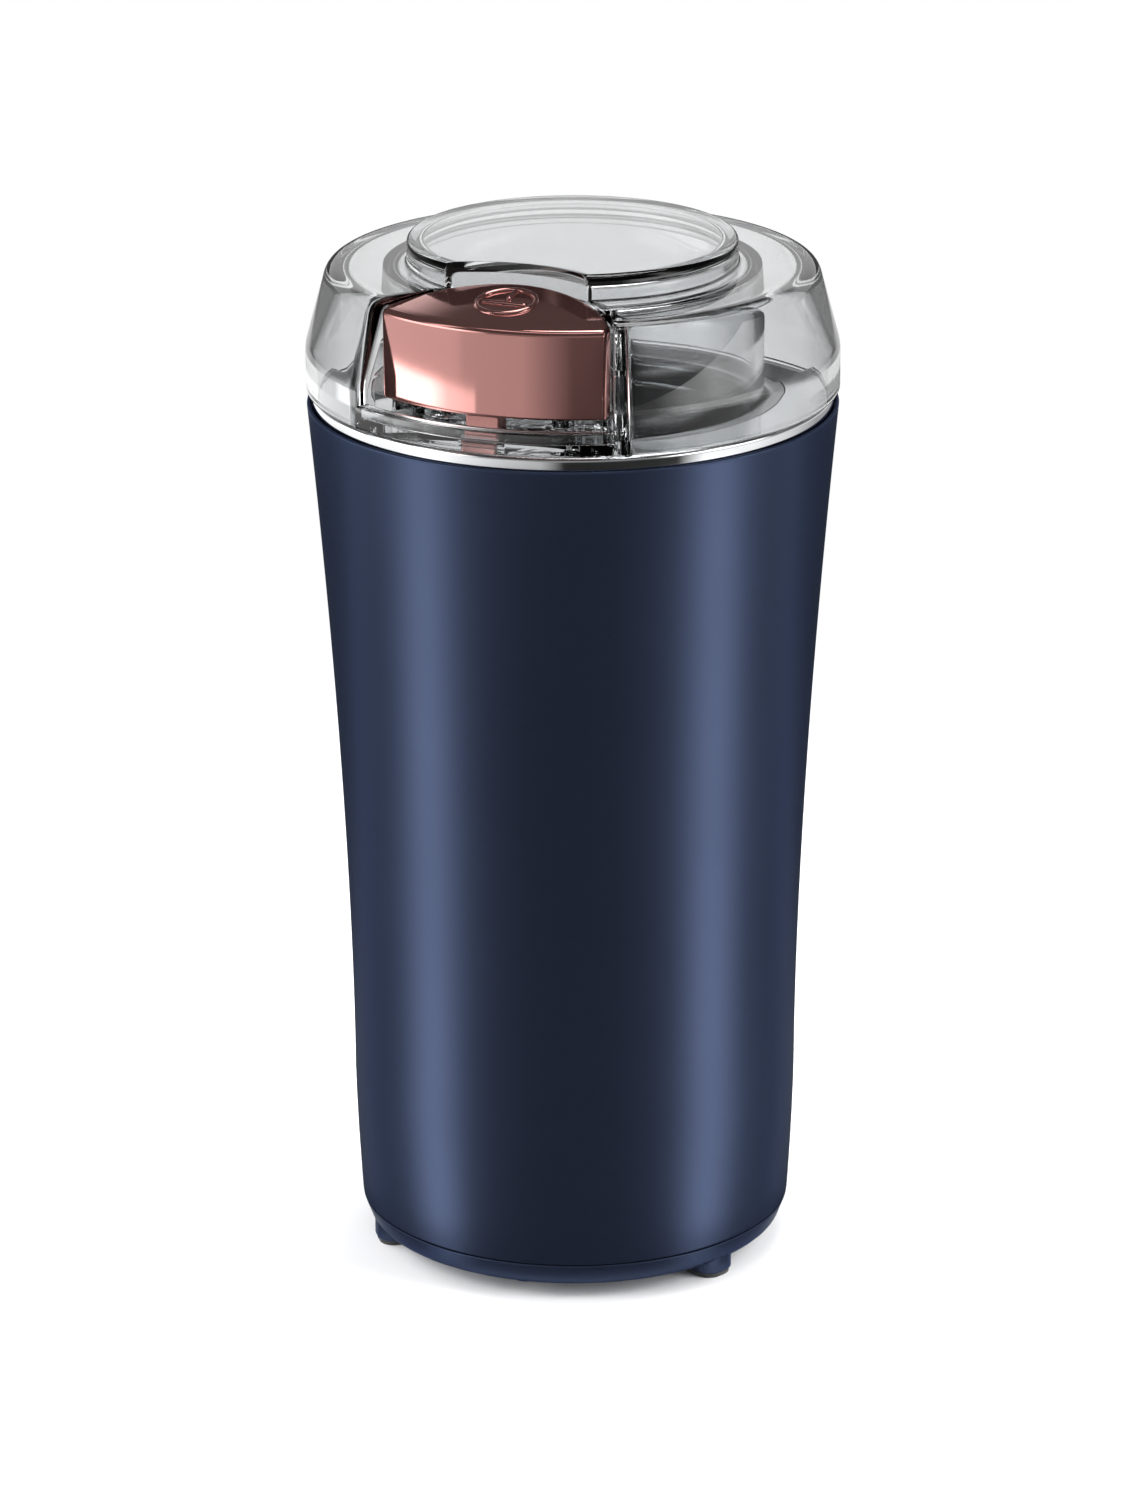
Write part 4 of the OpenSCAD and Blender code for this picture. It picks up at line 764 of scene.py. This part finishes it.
# ---- Button ----
# A hollow lens-shaped cap in metallic rose-gold plastic, with a raised power sign on its top and a
# tab that reaches down through the lid to the push rod. It slides in the lid's pocket.
button_low, button_edge, top_rise, front_r = 166.5, 182.2, 6.4, 42.5
half_w, tab_low = 20.8, 160.4


def lens_outline(inset, fillet=1.1, front_steps=70, back_steps=70, turn_steps=8):
    """The button's plan, inset all round: the front arc about the axis and the pocket's arc behind,
    cut off at half_w by short upright sides, the four corners softened by fillets."""
    front, back, half = front_r - inset, pocket_r - gap - inset, half_w - inset
    c = pocket_out
    # Front corner: fillet centre at half - f in x and front - f from the axis
    f = max(fillet - inset * 0.3, 0.3)
    fx = half - f
    fy = -math.sqrt((front - f) ** 2 - fx ** 2)
    fa = math.atan2(fy, fx)
    # Back corner: centre at half - f in x and back - f from the pocket's centre
    by = -c + math.sqrt((back - f) ** 2 - fx ** 2)
    ba = math.atan2(by + c, fx)
    front_arc = arc((0, 0), front, -math.pi - fa, fa, front_steps)
    right_front = arc((fx, fy), f, fa, 0, turn_steps + 1)[1:]
    right_back = arc((fx, by), f, 0, ba, turn_steps + 1)[:-1]
    back_arc = arc((0, -c), back, ba, math.pi - ba, back_steps)
    left_back = right_back[::-1] * [-1, 1]
    left_front = right_front[::-1] * [-1, 1]
    return np.concatenate([front_arc, right_front, right_back, back_arc, left_back, left_front])


def top_height(plan):
    """Height of the button's top over a point of the plan: a shallow cone that rises to the lid's axis."""
    return button_edge + top_rise * (1 - np.hypot(plan[..., 0], plan[..., 1]) / front_r)


def button_skin(name, wall=1.8, edge_r=0.9):
    """The cap as one closed skin: inner roof, inner wall, lower rim, outer wall, rounded edge, top.
    Rows across the top shrink the outline towards a point in its middle."""
    middle = np.array([0, -32.6])
    rows = []

    def add_row(plan, height):
        """Adds the plan as a row at that height, which is one number or one for each point."""
        rows.append(np.column_stack([plan, np.broadcast_to(height, len(plan))]))

    inner, outer, edge = lens_outline(wall), lens_outline(0), lens_outline(edge_r)
    for share in (0.4, 0.8, 1.0):
        plan = middle + (inner - middle) * share
        add_row(plan, top_height(plan) - wall)
    for inset, rise in ((wall, 0.0), (0.25, 0.0), (0.06, 0.08), (0.0, 0.3)):
        add_row(lens_outline(inset), button_low + rise)
    wall_low, wall_top = button_low + 0.3, top_height(outer) - edge_r
    for share in (0.005, 0.5, 0.995):
        add_row(outer, wall_low + share * (wall_top - wall_low))
    for a in np.radians(np.arange(15, 91, 15)):
        plan = lens_outline(edge_r * (1 - math.cos(a)))
        add_row(plan, top_height(plan) - edge_r * (1 - math.sin(a)))
    for share in (0.85, 0.7, 0.55, 0.4, 0.25, 0.12):
        plan = middle + (edge - middle) * share
        add_row(plan, top_height(plan))
    tip = float(top_height(middle))
    return fanned(name, rows, (*middle, tip - wall), (*middle, tip), 35)


def ridge(name, path, half_w=0.55, rise=0.5, closed=False, sides=16):
    """A rounded ridge on the button's top along a path of the plan. Its section at p is the ellipse
    (p + side half_w cos t, top + rise sin t), and an open path ends in half an ellipsoid."""
    path = np.asarray(path, float)
    along = np.roll(path, -1, 0) - np.roll(path, 1, 0) if closed else np.gradient(path, axis=0)
    along /= np.linalg.norm(along, axis=1)[:, None]
    scale = np.ones(len(path))
    if not closed:
        a = np.radians([80, 60, 40, 20])
        path = np.concatenate([path[0] - along[0] * half_w * np.sin(a)[:, None], path,
                               path[-1] + along[-1] * half_w * np.sin(a[::-1])[:, None]])
        along = np.concatenate([[along[0]] * 4, along, [along[-1]] * 4])
        scale = np.concatenate([np.cos(a), scale, np.cos(a[::-1])])
    t = np.linspace(0, 2 * math.pi, sides, endpoint=False)
    side = np.stack([along[:, 1], -along[:, 0]], 1)
    plan = path[:, None] + side[:, None] * (half_w * scale[:, None] * np.cos(t))[..., None]
    rows = np.dstack([plan, top_height(plan) + rise * scale[:, None] * np.sin(t)])
    if closed:
        return new_object(name, rows.reshape(-1, 3) * MM, quads(len(path), sides, wrap_rows=True))
    tips = [(*(path[k] + direction * half_w * 0.02), float(top_height(path[k])))
            for k, direction in ((0, -along[0]), (-1, along[-1]))]
    return fanned(name, list(rows), *tips)


button = button_skin("press_button_cap")
tab = soft_block("button_tab", (-tab_w / 2, -tab_out, tab_low),
                 (tab_w / 2, -tab_out + tab_t, button_low + 2), 0.4)
lugs = [moved(soft_block("lug", (pocket_r - 1.3, -lug_half, lug_low),
                         (pocket_r + 1.2, lug_half, lug_high), 0.3), a, (0, -pocket_out, 0))
        for a in lug_turns]
sign = np.array([0.0, -31.0])
cut(button, tab, *lugs, ridge("sign_ring", arc(sign, 5.1, 0, 2 * math.pi, 97)[:-1], closed=True),
    ridge("sign_bar", [sign + (x, -0.9) for x in np.linspace(-3.6, 3.6, 9)]),
    ridge("sign_tick", [sign + (0, y) for y in np.linspace(1.2, 4.4, 6)]), operation="UNION", smooth_below=35)
rose_gold = finish_material("rose_gold_paint", (0.50, 0.235, 0.215), (0.56, 0.27, 0.245), (0.05, 0.08),
                            metallic=0.95, grain=5000, bump=0.03, Coat_Weight=0.3, Coat_Roughness=0.05)
button.data.materials.append(rose_gold)
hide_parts("press_button")
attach(button, "button")

# ---- Springs of the button and the push rod ----
# Compression springs of bright steel wire: two stand on the lid's pins and push the button up, and one
# stands in the rod's guide. Their end turns lie close, and the button's travel is 3 mm.


def coils(name, places, low, high, radius=2.4, wire=0.2, turns=8, per_turn=32, sides=12):
    """Tubes of radius wire round the line (radius cos 2 pi t, radius sin 2 pi t, h(t)), t from 0 to turns,
    where h climbs by little more than the wire's width over the first and the last turn, and evenly
    between them."""
    end_turn = 2.3 * wire
    t = np.linspace(0, turns, turns * per_turn + 1)
    h = np.interp(t, [0, 1, turns - 1, turns], [
        low + wire, low + wire + end_turn, high - wire - end_turn, high - wire])[:, None]
    a, b = 2 * math.pi * t[:, None], np.linspace(0, 2 * math.pi, sides, endpoint=False)
    out = radius + wire * np.cos(b)
    tube = np.stack([out * np.cos(a), out * np.sin(a), h + wire * np.sin(b)], -1).reshape(-1, 3)
    one = np.concatenate([tube, [(radius, 0, h[0, 0]), (radius, 0, h[-1, 0])]])
    points = np.concatenate([one + (x, y, 0) for x, y in places])
    faces = closed_faces(len(t), sides)
    return new_object(name, points * MM, [[c + k * len(one) for c in face]
                                          for k in range(len(places)) for face in faces])


spring_wire = finish_material("spring_wire", (0.62, 0.63, 0.64), (0.72, 0.73, 0.74), (0.12, 0.22),
                              metallic=1.0)
for name, node, body, joint, places, low, high, radius, turns in (
        ("button_spring_pair", "button_springs", "lid", "button_press",
         [(-spring_x, spring_y), (spring_x, spring_y)], floor_z, 180.6, 2.4, 8),
        ("rod_return_spring", "rod_spring", "housing", "rod_slide", [(0, -40.4)], 152.1, 157.9, 2.0, 6)):
    springs = coils(name, places, low, high, radius, turns=turns)
    springs.data.materials.append(spring_wire)
    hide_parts(node)
    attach(springs, body)
    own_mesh(springs)

# ---- Cord inlet and foot pads ----
# A black rubber bush with a rounded flange lines the inlet at the back, and a rubber pad is
# glued under each foot.
black_rubber = finish_material("black_rubber", (0.024, 0.024, 0.024), (0.036, 0.036, 0.036), (0.55, 0.7),
                               bump=0.3)
bore_r, bush_in, bush_out, pad_inset = 3.2, 35.4, 40.8, 0.4
bush = turned("inlet_bush", rounded([
    (bore_r, bush_in, 0.4), (inlet_r, bush_in, 0.3), (inlet_r, flange_seat, 0.05),
    (flange_r, flange_seat, 0.3), (flange_r, bush_out, 0.7), (bore_r, bush_out, 0.7), (bore_r, 38, 0)],
    steps=6), 96)
bush.data.transform(Matrix.Translation((0, 0, inlet_z * MM)) @ Matrix.Rotation(-math.pi / 2, 4, "X"))
pads, *others = [post("foot_pad_set", turn, foot_out - pad_inset, foot_w - 2 * pad_inset,
                      foot_corner - pad_inset, 0, pad_t, edge=0.2) for turn in foot_turns]
cut(pads, *others, operation="UNION")
for obj, node in ((bush, "cord_inlet"), (pads, "foot_pads")):
    obj.data.materials.append(black_rubber)
    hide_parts(node)
    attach(obj, "housing")

# ---- Carried-over pieces ----
# The parts inside and the screws are the CAD's own solids. Each takes the finish of its material:
# moulded plastics, rubber, plated and ground steel, stacked sheet, copper, bronze, brass and carbon.
carried = [
    (finish_material("black_plastic", (0.022, 0.022, 0.024), (0.034, 0.034, 0.036), (0.4, 0.5), bump=0.15),
     "bowl_carrier upper_bracket lower_bracket switch_body"),
    (finish_material("white_nylon", (0.74, 0.73, 0.69), (0.82, 0.81, 0.77), (0.4, 0.5), bump=0.1),
     "rod_guide push_rod cooling_fan thermal_cutout"),
    (finish_material("red_plastic", (0.5, 0.05, 0.045), (0.6, 0.07, 0.06), (0.35, 0.45)), "switch_plunger"),
    (finish_material("amber_case", (0.66, 0.45, 0.07), (0.76, 0.54, 0.09), (0.3, 0.4)), "capacitor"),
    (finish_material("pale_silicone", (0.70, 0.70, 0.67), (0.78, 0.78, 0.75), (0.45, 0.55)), "bowl_gasket"),
    (black_rubber, "bowl_washer shaft_seal bracket_grommets"),
    (finish_material("machine_steel", (0.52, 0.53, 0.54), (0.64, 0.65, 0.66), (0.2, 0.35), metallic=1.0),
     "base_screws carrier_screws bracket_screws stator_screws switch_screws brush_springs motor_shaft "
     "thrust_washers"),
    (finish_material("ground_steel", (0.62, 0.63, 0.64), (0.74, 0.75, 0.76), (0.15, 0.28), metallic=1.0),
     "cutting_blade blade_spacer blade_washer blade_nut"),
    (polished_steel, "bowl_nut"),
    (finish_material("sheet_stack", (0.26, 0.27, 0.28), (0.36, 0.37, 0.38), (0.35, 0.5), metallic=1.0),
     "stator_core armature_core"),
    (finish_material("copper_wire", (0.50, 0.22, 0.09), (0.68, 0.32, 0.14), (0.25, 0.4), metallic=1.0),
     "field_coils armature_winding commutator"),
    (finish_material("bronze", (0.42, 0.3, 0.13), (0.56, 0.42, 0.2), (0.35, 0.5), metallic=1.0),
     "upper_bearing lower_bearing"),
    (finish_material("brass", (0.66, 0.5, 0.22), (0.76, 0.6, 0.28), (0.2, 0.35), metallic=1.0),
     "brush_holders switch_terminals"),
    (finish_material("carbon", (0.04, 0.04, 0.045), (0.06, 0.06, 0.065), (0.5, 0.6)), "carbon_brushes")]
for material, names in carried:
    for name in names.split():
        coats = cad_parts[name].data.materials
        coats.clear()
        coats.append(material)
